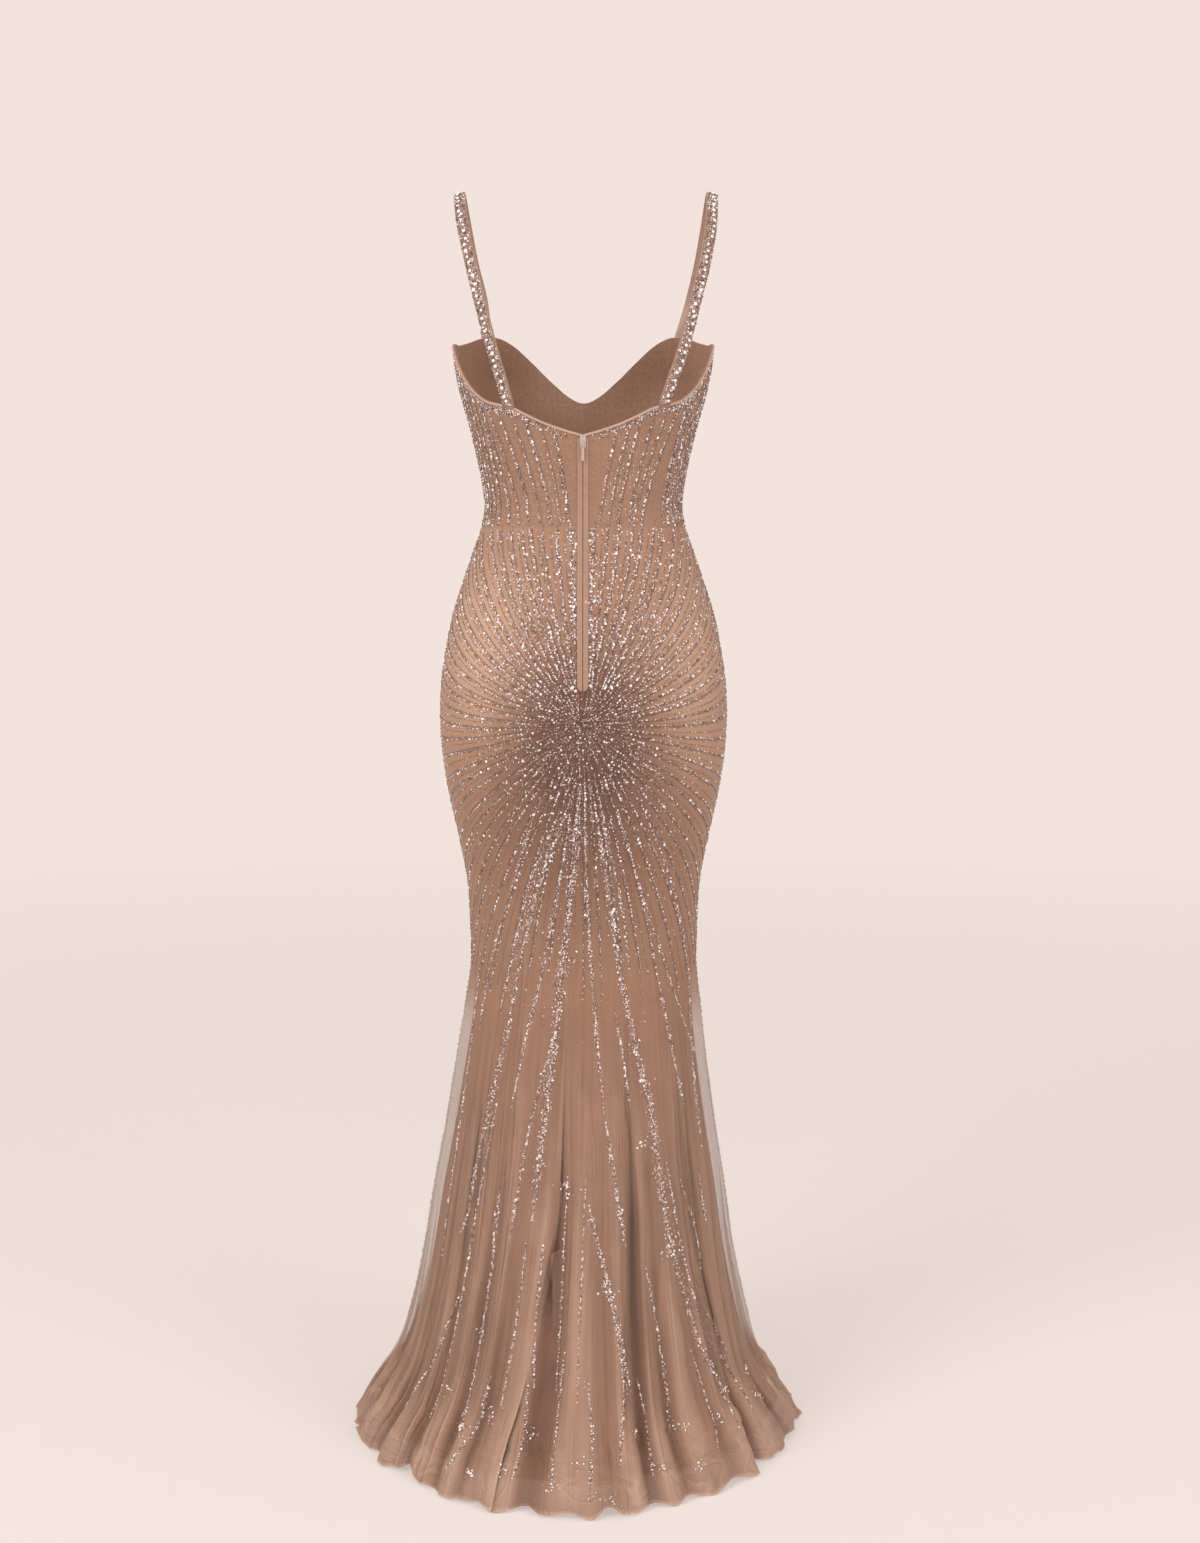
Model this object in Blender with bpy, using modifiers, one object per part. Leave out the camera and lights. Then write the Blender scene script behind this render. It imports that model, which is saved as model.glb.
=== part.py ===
"""Evening gown: a close bodice on beaded straps over a trumpet skirt that spreads on the floor.

Metres, +Z up. The origin lies midway between the strap tops, where the wearer's shoulders hold
the gown. The back, with its zip, faces -Y, and the front, with its cups, faces +Y.

Every wall is read from one surface. A point of it has an angle in degrees, 0 at the centre
back, 90 at the +X side and 180 at the centre front, and a station, the length of cloth above it.
"""

from collections import namedtuple
from math import atan2, cos, pi, radians, sin

import bpy
import numpy as np
from mathutils import Vector

COLLECTION = "evening_gown"

# Heights above the floor
SHOULDER_HEIGHT = 1.457
WAIST_SEAM_HEIGHT = 1.066
ZIP_END_HEIGHT = 0.878
LINING_TOP_HEIGHT = 0.615
LINING_HEM_HEIGHT = 0.030

# Cloth
BODICE_WALL = 0.0020
SKIRT_WALL = 0.0016
LINING_WALL = 0.0012
TRIM_WALL = 0.0010
SEAM_GAP = 0.0003
LINING_EASE = 0.0130  # clear space between the two skirt layers below the knee
LINING_FOLD_SHARE = 0.75  # how much of each fold the inner layer follows
LINING_EASE_LENGTH = 0.16  # height over which that space opens

# Body shape
CUP_DEPTH = 0.027
CUP_ANGLE = 146.0
CUP_SPREAD = 21.0
CUP_HEIGHT = 1.232
CUP_RISE = 0.050

# Trims
BINDING_WIDTH = 0.0032
ZIP_STRIP_WIDTH = 0.0060
ZIP_STRIP_START = 0.0004  # from the centre back
STRAP_WIDTH = 0.0138
STRAP_WALL = 0.0020
STRAP_CROWN = 0.0008  # how much higher the strap's middle stands than its edges

# Where each strap meets the bodice: degrees from the centre back to its middle
StrapEnds = namedtuple("StrapEnds", "name side back front")
STRAP_ENDS = (
    StrapEnds("left", -1, 36.5, 133.0),
    StrapEnds("right", 1, 40.2, 134.0),
)

# Zip slider, laid on the cloth: X across, Y out of the cloth, Z along it
SLIDER_HEIGHT = 1.165
SLIDER_SIZE = (0.0066, 0.0012, 0.0140)
SLIDER_ROUNDING = 0.0004
HINGE_BELOW_MIDDLE = 0.0030
BRIDGE_WIDTH = 0.0018
BRIDGE_BAR = 0.0008
BRIDGE_HOLLOW = (0.0019, 0.0042)  # out of the cloth, along it

# Zip pull, hanging plumb: its origin is on the hinge axis, in its crossbar
PULL_WALL = 0.0009
PULL_WIDTH = 0.0030
PULL_LENGTH = 0.0195
PULL_EYE_WIDTH = 0.0044
PULL_HOLE_WIDTH = 0.0025
PULL_HOLE_LENGTH = 0.0034
PULL_EYE_LENGTH = 0.0055
PULL_CORNER_STEPS = 4

# Horizontal sections of the outer face: half width, how far forward the side seam lies, the
# reach of the back and of the front from the origin, how far the section has swung towards
# +X, and how far it stands out at its corners as a share
Section = namedtuple("Section", "height half_width side back front sway square")
SECTIONS = (
    Section(1.345, 0.1550, 0.000, 0.096, 0.106, 0.000, 0.035),
    Section(1.300, 0.1545, 0.000, 0.100, 0.110, 0.000, 0.035),
    Section(1.250, 0.1512, 0.000, 0.101, 0.110, 0.000, 0.035),
    Section(1.217, 0.1438, 0.000, 0.098, 0.106, 0.000, 0.035),
    Section(1.182, 0.1340, 0.000, 0.093, 0.099, 0.000, 0.035),
    Section(1.147, 0.1258, 0.000, 0.088, 0.092, 0.000, 0.035),
    Section(1.111, 0.1190, 0.000, 0.083, 0.087, 0.000, 0.035),
    Section(1.093, 0.1172, 0.000, 0.082, 0.086, 0.000, 0.035),
    Section(1.066, 0.1216, 0.000, 0.085, 0.087, 0.000, 0.035),
    Section(1.040, 0.1305, 0.000, 0.092, 0.090, 0.000, 0.035),
    Section(1.004, 0.1430, 0.000, 0.103, 0.094, 0.000, 0.035),
    Section(0.968, 0.1545, 0.000, 0.113, 0.097, 0.000, 0.035),
    Section(0.933, 0.1624, 0.000, 0.120, 0.099, 0.000, 0.035),
    Section(0.897, 0.1684, 0.000, 0.125, 0.101, 0.000, 0.035),
    Section(0.842, 0.1718, 0.000, 0.127, 0.102, 0.000, 0.035),
    Section(0.800, 0.1693, 0.000, 0.125, 0.101, 0.000, 0.035),
    Section(0.752, 0.1622, 0.000, 0.118, 0.099, 0.000, 0.035),
    Section(0.697, 0.1502, 0.000, 0.109, 0.097, 0.000, 0.035),
    Section(0.642, 0.1398, 0.000, 0.103, 0.096, 0.000, 0.035),
    Section(0.587, 0.1368, -0.001, 0.102, 0.097, 0.000, 0.035),
    Section(0.551, 0.1360, -0.002, 0.104, 0.099, 0.000, 0.035),
    Section(0.496, 0.1422, -0.005, 0.113, 0.104, -0.001, 0.035),
    Section(0.424, 0.1520, -0.013, 0.133, 0.112, -0.003, 0.035),
    Section(0.352, 0.1628, -0.022, 0.156, 0.122, -0.004, 0.025),
    Section(0.281, 0.1748, -0.032, 0.183, 0.134, -0.005, 0.015),
    Section(0.210, 0.1848, -0.043, 0.214, 0.148, -0.006, 0.005),
    Section(0.139, 0.1990, -0.053, 0.251, 0.165, -0.006, -0.005),
    Section(0.086, 0.2145, -0.060, 0.288, 0.182, -0.007, -0.015),
    Section(0.051, 0.2340, -0.062, 0.320, 0.197, -0.008, -0.025),
    Section(0.024, 0.2535, -0.062, 0.352, 0.211, -0.008, -0.035),
    Section(0.0018, 0.2665, -0.060, 0.382, 0.221, -0.008, -0.040),
)

# Folds of the skirt, crest and valley by turns: how far each stands out just above the floor,
# the height where it starts, how far it turns towards the hem, how far its hem is lifted, and
# the share of it that is left where the hem spreads on the floor
Fold = namedtuple("Fold", "angle reach start drift lift hem")
FOLDS = (
    Fold(-90.0, 0.003, 0.34, 0.0, 0.000, 0.35),
    Fold(-79.0, -0.010, 0.30, 0.0, 0.003, 0.35),
    Fold(-70.5, 0.007, 0.36, -2.0, 0.000, 0.35),
    Fold(-61.0, -0.013, 0.38, -3.0, 0.002, 0.35),
    Fold(-53.5, 0.007, 0.42, -3.0, 0.000, 0.35),
    Fold(-46.5, -0.012, 0.46, -4.0, 0.005, 0.60),
    Fold(-40.0, 0.007, 0.44, -4.0, 0.001, 0.35),
    Fold(-34.0, -0.010, 0.46, -4.0, 0.000, 0.35),
    Fold(-28.0, 0.006, 0.42, -5.0, 0.001, 0.35),
    Fold(-23.5, -0.003, 0.38, -6.0, 0.004, 0.35),
    Fold(-13.0, 0.012, 0.40, -8.0, 0.000, 0.35),
    Fold(-7.0, -0.025, 0.42, -5.0, 0.003, 0.50),
    Fold(3.0, 0.010, 0.42, 0.0, 0.000, 0.35),
    Fold(9.0, 0.005, 0.36, 0.0, 0.006, 0.35),
    Fold(16.5, 0.011, 0.46, -2.0, 0.000, 0.35),
    Fold(21.0, -0.022, 0.46, -1.5, 0.004, 0.35),
    Fold(25.0, 0.001, 0.40, 0.0, 0.000, 0.35),
    Fold(29.0, -0.010, 0.38, 0.0, 0.002, 0.35),
    Fold(36.0, 0.008, 0.44, 0.0, 0.000, 0.35),
    Fold(41.0, 0.005, 0.36, 2.5, 0.007, 0.35),
    Fold(45.5, 0.012, 0.48, 6.0, 0.000, 0.35),
    Fold(50.5, -0.024, 0.48, 6.0, 0.003, 0.75),
    Fold(60.0, 0.007, 0.42, 3.0, 0.000, 0.35),
    Fold(73.0, -0.011, 0.36, 0.0, 0.004, 0.35),
    Fold(90.0, 0.003, 0.34, 0.0, 0.000, 0.35),
    Fold(99.0, -0.011, 0.40, 0.0, 0.002, 0.35),
    Fold(106.0, 0.008, 0.42, 2.0, 0.000, 0.35),
    Fold(114.0, -0.014, 0.46, 2.0, 0.004, 0.35),
    Fold(121.5, 0.009, 0.44, 0.0, 0.000, 0.35),
    Fold(130.0, -0.007, 0.34, 0.0, 0.003, 0.35),
    Fold(139.0, 0.010, 0.44, -2.0, 0.000, 0.35),
    Fold(145.0, -0.018, 0.48, -2.0, 0.002, 0.70),
    Fold(153.0, 0.006, 0.40, 0.0, 0.000, 0.35),
    Fold(160.0, -0.005, 0.36, 0.0, 0.005, 0.35),
    Fold(169.0, 0.010, 0.44, 0.0, 0.000, 0.35),
    Fold(176.0, -0.013, 0.46, 2.0, 0.003, 0.35),
    Fold(185.0, 0.008, 0.42, 2.0, 0.000, 0.35),
    Fold(194.0, -0.006, 0.36, 0.0, 0.004, 0.35),
    Fold(203.0, 0.009, 0.44, 0.0, 0.000, 0.35),
    Fold(210.0, -0.019, 0.48, 2.0, 0.002, 0.70),
    Fold(216.0, 0.010, 0.46, 3.0, 0.000, 0.35),
    Fold(226.0, -0.008, 0.38, 0.0, 0.005, 0.35),
    Fold(235.0, 0.006, 0.40, 0.0, 0.000, 0.35),
    Fold(242.0, -0.014, 0.46, -2.0, 0.003, 0.70),
    Fold(249.0, 0.008, 0.42, -2.0, 0.000, 0.35),
    Fold(256.0, -0.008, 0.36, 0.0, 0.002, 0.35),
    Fold(262.0, 0.006, 0.34, 0.0, 0.000, 0.35),
    Fold(266.0, -0.003, 0.30, 0.0, 0.001, 0.35),
    Fold(270.0, 0.003, 0.34, 0.0, 0.000, 0.35),
)
DRIFT_START_HEIGHT = 0.32
LIFT_START_HEIGHT = 0.06
SPREAD_START_HEIGHT = 0.055

# Top edge of the bodice from the centre back round to the centre front, the same on both sides
Edge = namedtuple("Edge", "angle height")
TOP_EDGE = (
    Edge(0.0, 1.1723),
    Edge(9.0, 1.1782),
    Edge(18.5, 1.1861),
    Edge(27.0, 1.1955),
    Edge(34.2, 1.2040),
    Edge(41.0, 1.2080),
    Edge(50.2, 1.2135),
    Edge(58.9, 1.2263),
    Edge(68.0, 1.2471),
    Edge(77.0, 1.2687),
    Edge(90.0, 1.2820),
    Edge(106.0, 1.2835),
    Edge(120.0, 1.2890),
    Edge(132.0, 1.2965),
    Edge(140.0, 1.2975),
    Edge(149.0, 1.2880),
    Edge(158.0, 1.2680),
    Edge(166.0, 1.2450),
    Edge(173.0, 1.2270),
    Edge(180.0, 1.2190),
)

# Rows of the panels
SKIRT_ROW_HEIGHTS = (
    WAIST_SEAM_HEIGHT, 1.025, 0.980, 0.935, 0.885, 0.835, 0.785, 0.730, 0.675, LINING_TOP_HEIGHT,
    0.550, 0.480, 0.410, 0.340, 0.270, 0.200, 0.140, 0.090, 0.050, 0.022, SECTIONS[-1].height,
)
BODICE_ROW_SHARES = (0.0, 0.08, 0.24, 0.42, 0.60, 0.80, 1.0)

# The straps' route over the shoulders, back to front: half the distance between them, how far
# both have swung towards +X, and the slope of their width
StrapStop = namedtuple("StrapStop", "x y height swing slope_y slope_z")
STRAP_STOPS = (
    StrapStop(0.0990, -0.0830, 1.235, 0.0048, 0.50, 0.00),
    StrapStop(0.1082, -0.0850, 1.263, 0.0056, 0.47, 0.00),
    StrapStop(0.1245, -0.0820, 1.325, 0.0056, 0.40, -0.04),
    StrapStop(0.1378, -0.0660, 1.381, 0.0056, 0.28, -0.10),
    StrapStop(0.1457, -0.0410, 1.425, 0.0043, 0.14, -0.18),
    StrapStop(0.1478, -0.0200, 1.447, 0.0034, 0.06, -0.24),
    StrapStop(0.1486, 0.0000, 1.457, 0.0030, 0.00, -0.27),
    StrapStop(0.1476, 0.0210, 1.448, 0.0030, -0.10, -0.24),
    StrapStop(0.1440, 0.0430, 1.423, 0.0032, -0.26, -0.16),
    StrapStop(0.1370, 0.0650, 1.382, 0.0034, -0.44, -0.08),
    StrapStop(0.1266, 0.0820, 1.338, 0.0034, -0.62, -0.02),
)
STRAP_ROWS_PER_STOP = 2

# Colours, roughness and metallic value of each finish
Finish = namedtuple("Finish", "red green blue roughness metallic")
FINISHES = {
    "bodice_tulle": Finish(0.34, 0.205, 0.145, 0.60, 0.0),
    "skirt_tulle": Finish(0.37, 0.22, 0.155, 0.65, 0.0),
    "lining_satin": Finish(0.36, 0.21, 0.15, 0.50, 0.0),
    "strap_beading": Finish(0.55, 0.42, 0.36, 0.30, 0.3),
    "binding_satin": Finish(0.50, 0.33, 0.25, 0.45, 0.0),
    "zip_tape": Finish(0.53, 0.36, 0.27, 0.55, 0.0),
    "zip_metal": Finish(0.60, 0.52, 0.47, 0.30, 0.8),
}

ANGLE_STEP = 0.3  # degrees to either side for a normal
STATION_STEP = 0.0005


def smooth(knots, values, at):
    """Cubic through the values at the knots, with each slope taken from its two neighbours."""
    slopes = np.gradient(values, knots)
    place = np.clip(np.searchsorted(knots, at, side="right") - 1, 0, len(knots) - 2)
    span = knots[place + 1] - knots[place]
    t = (at - knots[place]) / span
    start = values[place] * (2 * t**3 - 3 * t**2 + 1) + slopes[place] * span * (t**3 - 2 * t**2 + t)
    end = values[place + 1] * (3 * t**2 - 2 * t**3) + slopes[place + 1] * span * (t**3 - t**2)
    return start + end


def ease(share):
    """0 up to 1 with level ends."""
    share = np.clip(share, 0.0, 1.0)
    return share * share * (3 - 2 * share)


SECTION_TABLE = np.array(SECTIONS)
FOLD_TABLE = np.array(FOLDS)
EDGE_TABLE = np.array(TOP_EDGE)
STATIONS = np.concatenate(
    ([0.0], np.cumsum(np.linalg.norm(np.diff(SECTION_TABLE[:, [0, 1, 3]], axis=0), axis=1)))
)
FINE_STATIONS = np.linspace(0.0, STATIONS[-1], 4000)
FINE_HEIGHTS = smooth(STATIONS, SECTION_TABLE[:, 0], FINE_STATIONS)
COLUMNS = np.unique(
    np.concatenate((FOLD_TABLE[:, 0], (FOLD_TABLE[:-1, 0] + FOLD_TABLE[1:, 0]) / 2, [0.0]))
)


def station_at(height):
    """Station of a height on the undraped sections."""
    return np.interp(-np.asarray(height), -FINE_HEIGHTS, FINE_STATIONS)


def top_station(angle):
    """Station of the bodice's top edge."""
    turned = 180.0 - np.abs(180.0 - np.abs(angle))
    mirrored = 360.0 - EDGE_TABLE[-4:-1, 0][::-1]
    knots = np.concatenate((EDGE_TABLE[:, 0], mirrored))
    heights = np.concatenate((EDGE_TABLE[:, 1], EDGE_TABLE[-4:-1, 1][::-1]))
    return station_at(smooth(knots, heights, turned))


def folds_at(angle, height):
    """Reach, drift and lift of the folds: round lobes that meet in narrow valleys."""
    knot, reach, start, drift, lift, hem = FOLD_TABLE.T
    angle = np.mod(angle - FOLDS[0].angle, 360.0) + FOLDS[0].angle
    place = np.clip(np.searchsorted(knot, angle, side="right") - 1, 0, len(knot) - 2)
    t = (angle - knot[place]) / (knot[place + 1] - knot[place])
    crest_first = place % 2 == 0
    from_crest = np.where(crest_first, t, 1 - t)
    crest = np.where(crest_first, place, place + 1)
    valley = np.where(crest_first, place + 1, place)
    roundness = np.cos(from_crest * pi / 2)
    spread = ease(1 - height / SPREAD_START_HEIGHT)

    def reach_of(at):
        return reach[at] * ease((start[at] - height) / start[at]) * (1 - (1 - hem[at]) * spread)

    out = reach_of(valley) + (reach_of(crest) - reach_of(valley)) * roundness
    turn = (drift[place] * (1 - t) + drift[place + 1] * t) * ease(1 - height / DRIFT_START_HEIGHT)
    up = (lift[valley] + (lift[crest] - lift[valley]) * ease(1 - from_crest))
    return out, turn, up * ease(1 - height / LIFT_START_HEIGHT)


def surface(angle, station, fold_share=1.0):
    """Points of the outer face."""
    height, half_width, side, back, front, sway, square = (
        smooth(STATIONS, column, station) for column in SECTION_TABLE.T
    )
    fold, drift, lift = folds_at(angle, height)
    from_cup = np.abs(np.abs(180.0 - np.abs(angle)) - (180.0 - CUP_ANGLE))
    in_front = np.abs(angle) > 90.0
    rise = np.exp(-(((height - CUP_HEIGHT) / CUP_RISE) ** 2))
    cup = np.where(in_front, CUP_DEPTH * np.exp(-((from_cup / CUP_SPREAD) ** 2)) * rise, 0.0)
    turn = np.radians(angle + drift)
    square = 1 + square * np.sin(2 * turn) ** 2
    depth = np.where(np.cos(turn) > 0, back + side, front - side)
    out = fold * fold_share + cup
    x = sway + (half_width * square + out) * np.sin(turn)
    y = side - (depth * square + out) * np.cos(turn)
    z = height + lift * fold_share - SHOULDER_HEIGHT
    return np.stack(np.broadcast_arrays(x, y, z), axis=-1)


def outward(angle, station, fold_share=1.0):
    """Outward normals of the whole tube, so that the two rims along a seam stay parallel."""
    along = surface(angle + ANGLE_STEP, station, fold_share)
    along = along - surface(angle - ANGLE_STEP, station, fold_share)
    down = surface(angle, station + STATION_STEP, fold_share)
    down = down - surface(angle, station - STATION_STEP, fold_share)
    normal = np.cross(down, along)
    return normal / np.linalg.norm(normal, axis=-1, keepdims=True)


def degrees_for(length, angle, station):
    """Degrees round the tube that make a length of cloth there."""
    along = surface(angle + ANGLE_STEP, station) - surface(angle - ANGLE_STEP, station)
    return length * 2 * ANGLE_STEP / np.linalg.norm(along, axis=-1)


def own_material(name, finish):
    """One Principled material for one piece."""
    material = bpy.data.materials.new(name)
    material.use_nodes = True
    shader = material.node_tree.nodes["Principled BSDF"]
    shader.inputs["Base Color"].default_value = (finish.red, finish.green, finish.blue, 1.0)
    shader.inputs["Roughness"].default_value = finish.roughness
    shader.inputs["Metallic"].default_value = finish.metallic
    return material


def grid_solid(name, outer, inner, finish, collection):
    """A closed wall between two grids of points, rows down and columns towards larger angles."""
    rows, columns = outer.shape[:2]
    front = np.arange(rows * columns).reshape(rows, columns)
    back = front + rows * columns

    def quads(a, b, c, d):
        return np.stack([part.ravel() for part in (a, b, c, d)], axis=1)

    faces = np.concatenate((
        quads(front[:-1, :-1], front[1:, :-1], front[1:, 1:], front[:-1, 1:]),
        quads(back[:-1, :-1], back[:-1, 1:], back[1:, 1:], back[1:, :-1]),
        quads(front[0, :-1], front[0, 1:], back[0, 1:], back[0, :-1]),
        quads(front[-1, 1:], front[-1, :-1], back[-1, :-1], back[-1, 1:]),
        quads(front[:-1, 0], back[:-1, 0], back[1:, 0], front[1:, 0]),
        quads(front[1:, -1], back[1:, -1], back[:-1, -1], front[:-1, -1]),
    ))
    points = np.concatenate((outer.reshape(-1, 3), inner.reshape(-1, 3)))
    mesh = bpy.data.meshes.new(name)
    mesh.from_pydata(points.tolist(), [], faces.tolist())
    mesh.materials.append(own_material(name, finish))
    mesh.shade_smooth()
    item = bpy.data.objects.new(name, mesh)
    collection.objects.link(item)
    return item


def wall(name, angles, stations, finish, collection, thickness, raised=0.0, fold_share=1.0):
    """A wall on the surface, or a layer raised from it, or sunk where raised is negative."""
    normal = outward(angles, stations, fold_share)
    outer = surface(angles, stations, fold_share) + normal * np.asarray(raised)[..., None]
    return grid_solid(name, outer, outer - normal * thickness, finish, collection)


def seam_columns(first, last, columns, stations):
    """A grid of angles whose two end columns stand half a seam gap inside the seams."""
    inside = columns[(columns > first) & (columns < last)]
    angles = np.tile(np.concatenate(([first], inside, [last])), (len(stations), 1))
    angles[:, 0] += degrees_for(SEAM_GAP / 2, first, stations)
    angles[:, -1] -= degrees_for(SEAM_GAP / 2, last, stations)
    return angles


def bodice_panel(name, first, last, collection):
    """A bodice panel between two seams, from its top edge down to the waist seam."""
    waist = station_at(WAIST_SEAM_HEIGHT) - SEAM_GAP / 2
    shares = np.array(BODICE_ROW_SHARES)
    ends = [top_station(angle) * (1 - shares) + waist * shares for angle in (first, last)]
    angles = seam_columns(first, last, COLUMNS, ends[0])
    angles[:, -1] = last - degrees_for(SEAM_GAP / 2, last, ends[1])
    stations = top_station(angles) * (1 - shares[:, None]) + waist * shares[:, None]
    wall(name, angles, stations, FINISHES["bodice_tulle"], collection, BODICE_WALL)


def skirt_panel(name, first, last, collection):
    """A skirt panel between two seams, from the waist seam to the hem."""
    rows = station_at(SKIRT_ROW_HEIGHTS)
    rows[0] += SEAM_GAP / 2
    rows[-1] = STATIONS[-1]
    angles = seam_columns(first, last, COLUMNS, rows)
    stations = np.broadcast_to(rows[:, None], angles.shape)
    wall(name, angles, stations, FINISHES["skirt_tulle"], collection, SKIRT_WALL)


def lining_panel(name, first, last, collection):
    """The inner layer, sewn in above the knee and hanging clear of the outer one below."""
    heights = [h for h in SKIRT_ROW_HEIGHTS if LINING_HEM_HEIGHT < h <= LINING_TOP_HEIGHT]
    heights = np.array(heights + [LINING_HEM_HEIGHT])
    rows = station_at(heights)
    angles = seam_columns(first, last, FOLD_TABLE[:, 0], rows)
    stations = np.broadcast_to(rows[:, None], angles.shape)
    ease_share = ease((LINING_TOP_HEIGHT - heights) / LINING_EASE_LENGTH)
    sunk = -(SKIRT_WALL + SEAM_GAP + LINING_EASE * ease_share)
    raised = np.broadcast_to(sunk[:, None], angles.shape)
    wall(name, angles, stations, FINISHES["lining_satin"], collection, LINING_WALL, raised,
         LINING_FOLD_SHARE)


def binding(name, first, last, collection):
    """A narrow plain band on the outside of the bodice, along its top edge."""
    columns = np.unique(np.concatenate((COLUMNS, COLUMNS[COLUMNS > 180.0] - 360.0)))
    inside = columns[(columns > first) & (columns < last)]
    angles = np.tile(np.concatenate(([first], inside, [last])), (2, 1))
    stations = top_station(angles) + np.array([[0.0], [BINDING_WIDTH]])
    raised = np.full(angles.shape, SEAM_GAP + TRIM_WALL)
    wall(name, angles, stations, FINISHES["binding_satin"], collection, TRIM_WALL, raised)


def zip_strip(name, side, collection):
    """The plain fold of cloth beside the zip, on the bodice and on the skirt, round at its end."""
    top = top_station(0.0)
    waist = station_at(WAIST_SEAM_HEIGHT)
    end = station_at(ZIP_END_HEIGHT)
    shares = np.array(BODICE_ROW_SHARES[1:-1])
    skirt_rows = station_at([h for h in SKIRT_ROW_HEIGHTS if h > ZIP_END_HEIGHT + ZIP_STRIP_WIDTH])
    round_off = np.sin(np.linspace(0.0, 0.9, 4) * pi / 2) * ZIP_STRIP_WIDTH
    rows = np.concatenate((
        [top + BINDING_WIDTH + SEAM_GAP],
        top * (1 - shares) + waist * shares,
        skirt_rows,
        end - ZIP_STRIP_WIDTH + round_off,
    ))
    past = np.clip((rows - end + ZIP_STRIP_WIDTH) / ZIP_STRIP_WIDTH, 0.0, 1.0)
    reach = ZIP_STRIP_WIDTH * np.sqrt(1 - past**2)
    edges = np.stack((np.full(rows.shape, ZIP_STRIP_START), ZIP_STRIP_START + reach), axis=1)
    if side < 0:
        edges = -edges[:, ::-1]
    stations = np.broadcast_to(rows[:, None], edges.shape)
    angles = degrees_for(1.0, 0.0, rows)[:, None] * edges
    raised = np.full(angles.shape, SEAM_GAP + TRIM_WALL)
    wall(name, angles, stations, FINISHES["zip_tape"], collection, TRIM_WALL, raised)


def strap(ends, collection):
    """A strap that goes on from the bodice's edge, over the shoulder and down to the front."""
    name = f"strap_{ends.name}"
    across = np.array([-1.0, 0.0, 1.0])
    mirror = np.array([ends.side, 1.0, 1.0])

    def base(angle):
        half = degrees_for(STRAP_WIDTH / 2, angle, top_station(angle))
        turned = ends.side * (angle + across * half * (1 if angle < 90 else -1))
        turned = np.where(turned < -90.0, turned + 360.0, turned)
        station = top_station(turned) - SEAM_GAP
        return surface(turned, station), outward(turned, station)

    back_points, back_normals = base(ends.back)
    front_points, front_normals = base(ends.front)
    x, y, height, swing, *slopes = np.array(STRAP_STOPS).T
    stops = np.stack((x + ends.side * swing, y, height - SHOULDER_HEIGHT), axis=1)
    route = np.concatenate(([back_points[1] * mirror], stops, [front_points[1] * mirror]))
    knots = np.concatenate(([0.0], np.cumsum(np.linalg.norm(np.diff(route, axis=0), axis=1))))
    rows = np.arange(1, (len(route) - 1) * STRAP_ROWS_PER_STOP) / STRAP_ROWS_PER_STOP
    fine = np.interp(rows, np.arange(len(route)), knots)
    centre, ahead = (
        np.stack([smooth(knots, column, at) for column in route.T], axis=1)
        for at in (fine, fine + STATION_STEP)
    )
    tangent = ahead - centre
    tangent /= np.linalg.norm(tangent, axis=1, keepdims=True)
    slope_y, slope_z = (smooth(knots, np.pad(slope, 1, mode="edge"), fine) for slope in slopes)
    width = np.stack((np.ones(len(fine)), slope_y, slope_z), axis=1)
    width -= tangent * np.sum(width * tangent, axis=1, keepdims=True)
    width /= np.linalg.norm(width, axis=1, keepdims=True)
    middle = centre[:, None, :] + width[:, None, :] * (across[:, None] * STRAP_WIDTH / 2)
    normal = np.broadcast_to((np.cross(width, tangent) * mirror)[:, None, :], middle.shape)
    outer = np.concatenate((back_points[None], middle * mirror, front_points[None]))
    normal = np.concatenate((back_normals[None], normal, front_normals[None]))
    inner = outer - normal * STRAP_WALL
    crown = np.full((len(outer), 1), STRAP_CROWN)
    crown[[0, -1]] = 0.0
    outer[:, 1] += normal[:, 1] * crown
    # rows run up from the back, so the columns are turned to keep the faces pointing out
    order = slice(None, None, -ends.side)
    grid_solid(name, outer[:, order], inner[:, order], FINISHES["strap_beading"], collection)


def box(name, size, place, tilt, collection):
    """A box whose Y side points out of the cloth."""
    bpy.ops.mesh.primitive_cube_add(size=1.0, location=place, rotation=(tilt, 0.0, 0.0))
    item = bpy.context.active_object
    item.name = name
    item.data.name = name
    item.data.transform(((size[0], 0, 0, 0), (0, size[1], 0, 0), (0, 0, size[2], 0), (0, 0, 0, 1)))
    for owner in list(item.users_collection):
        owner.objects.unlink(item)
    collection.objects.link(item)
    return item


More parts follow.
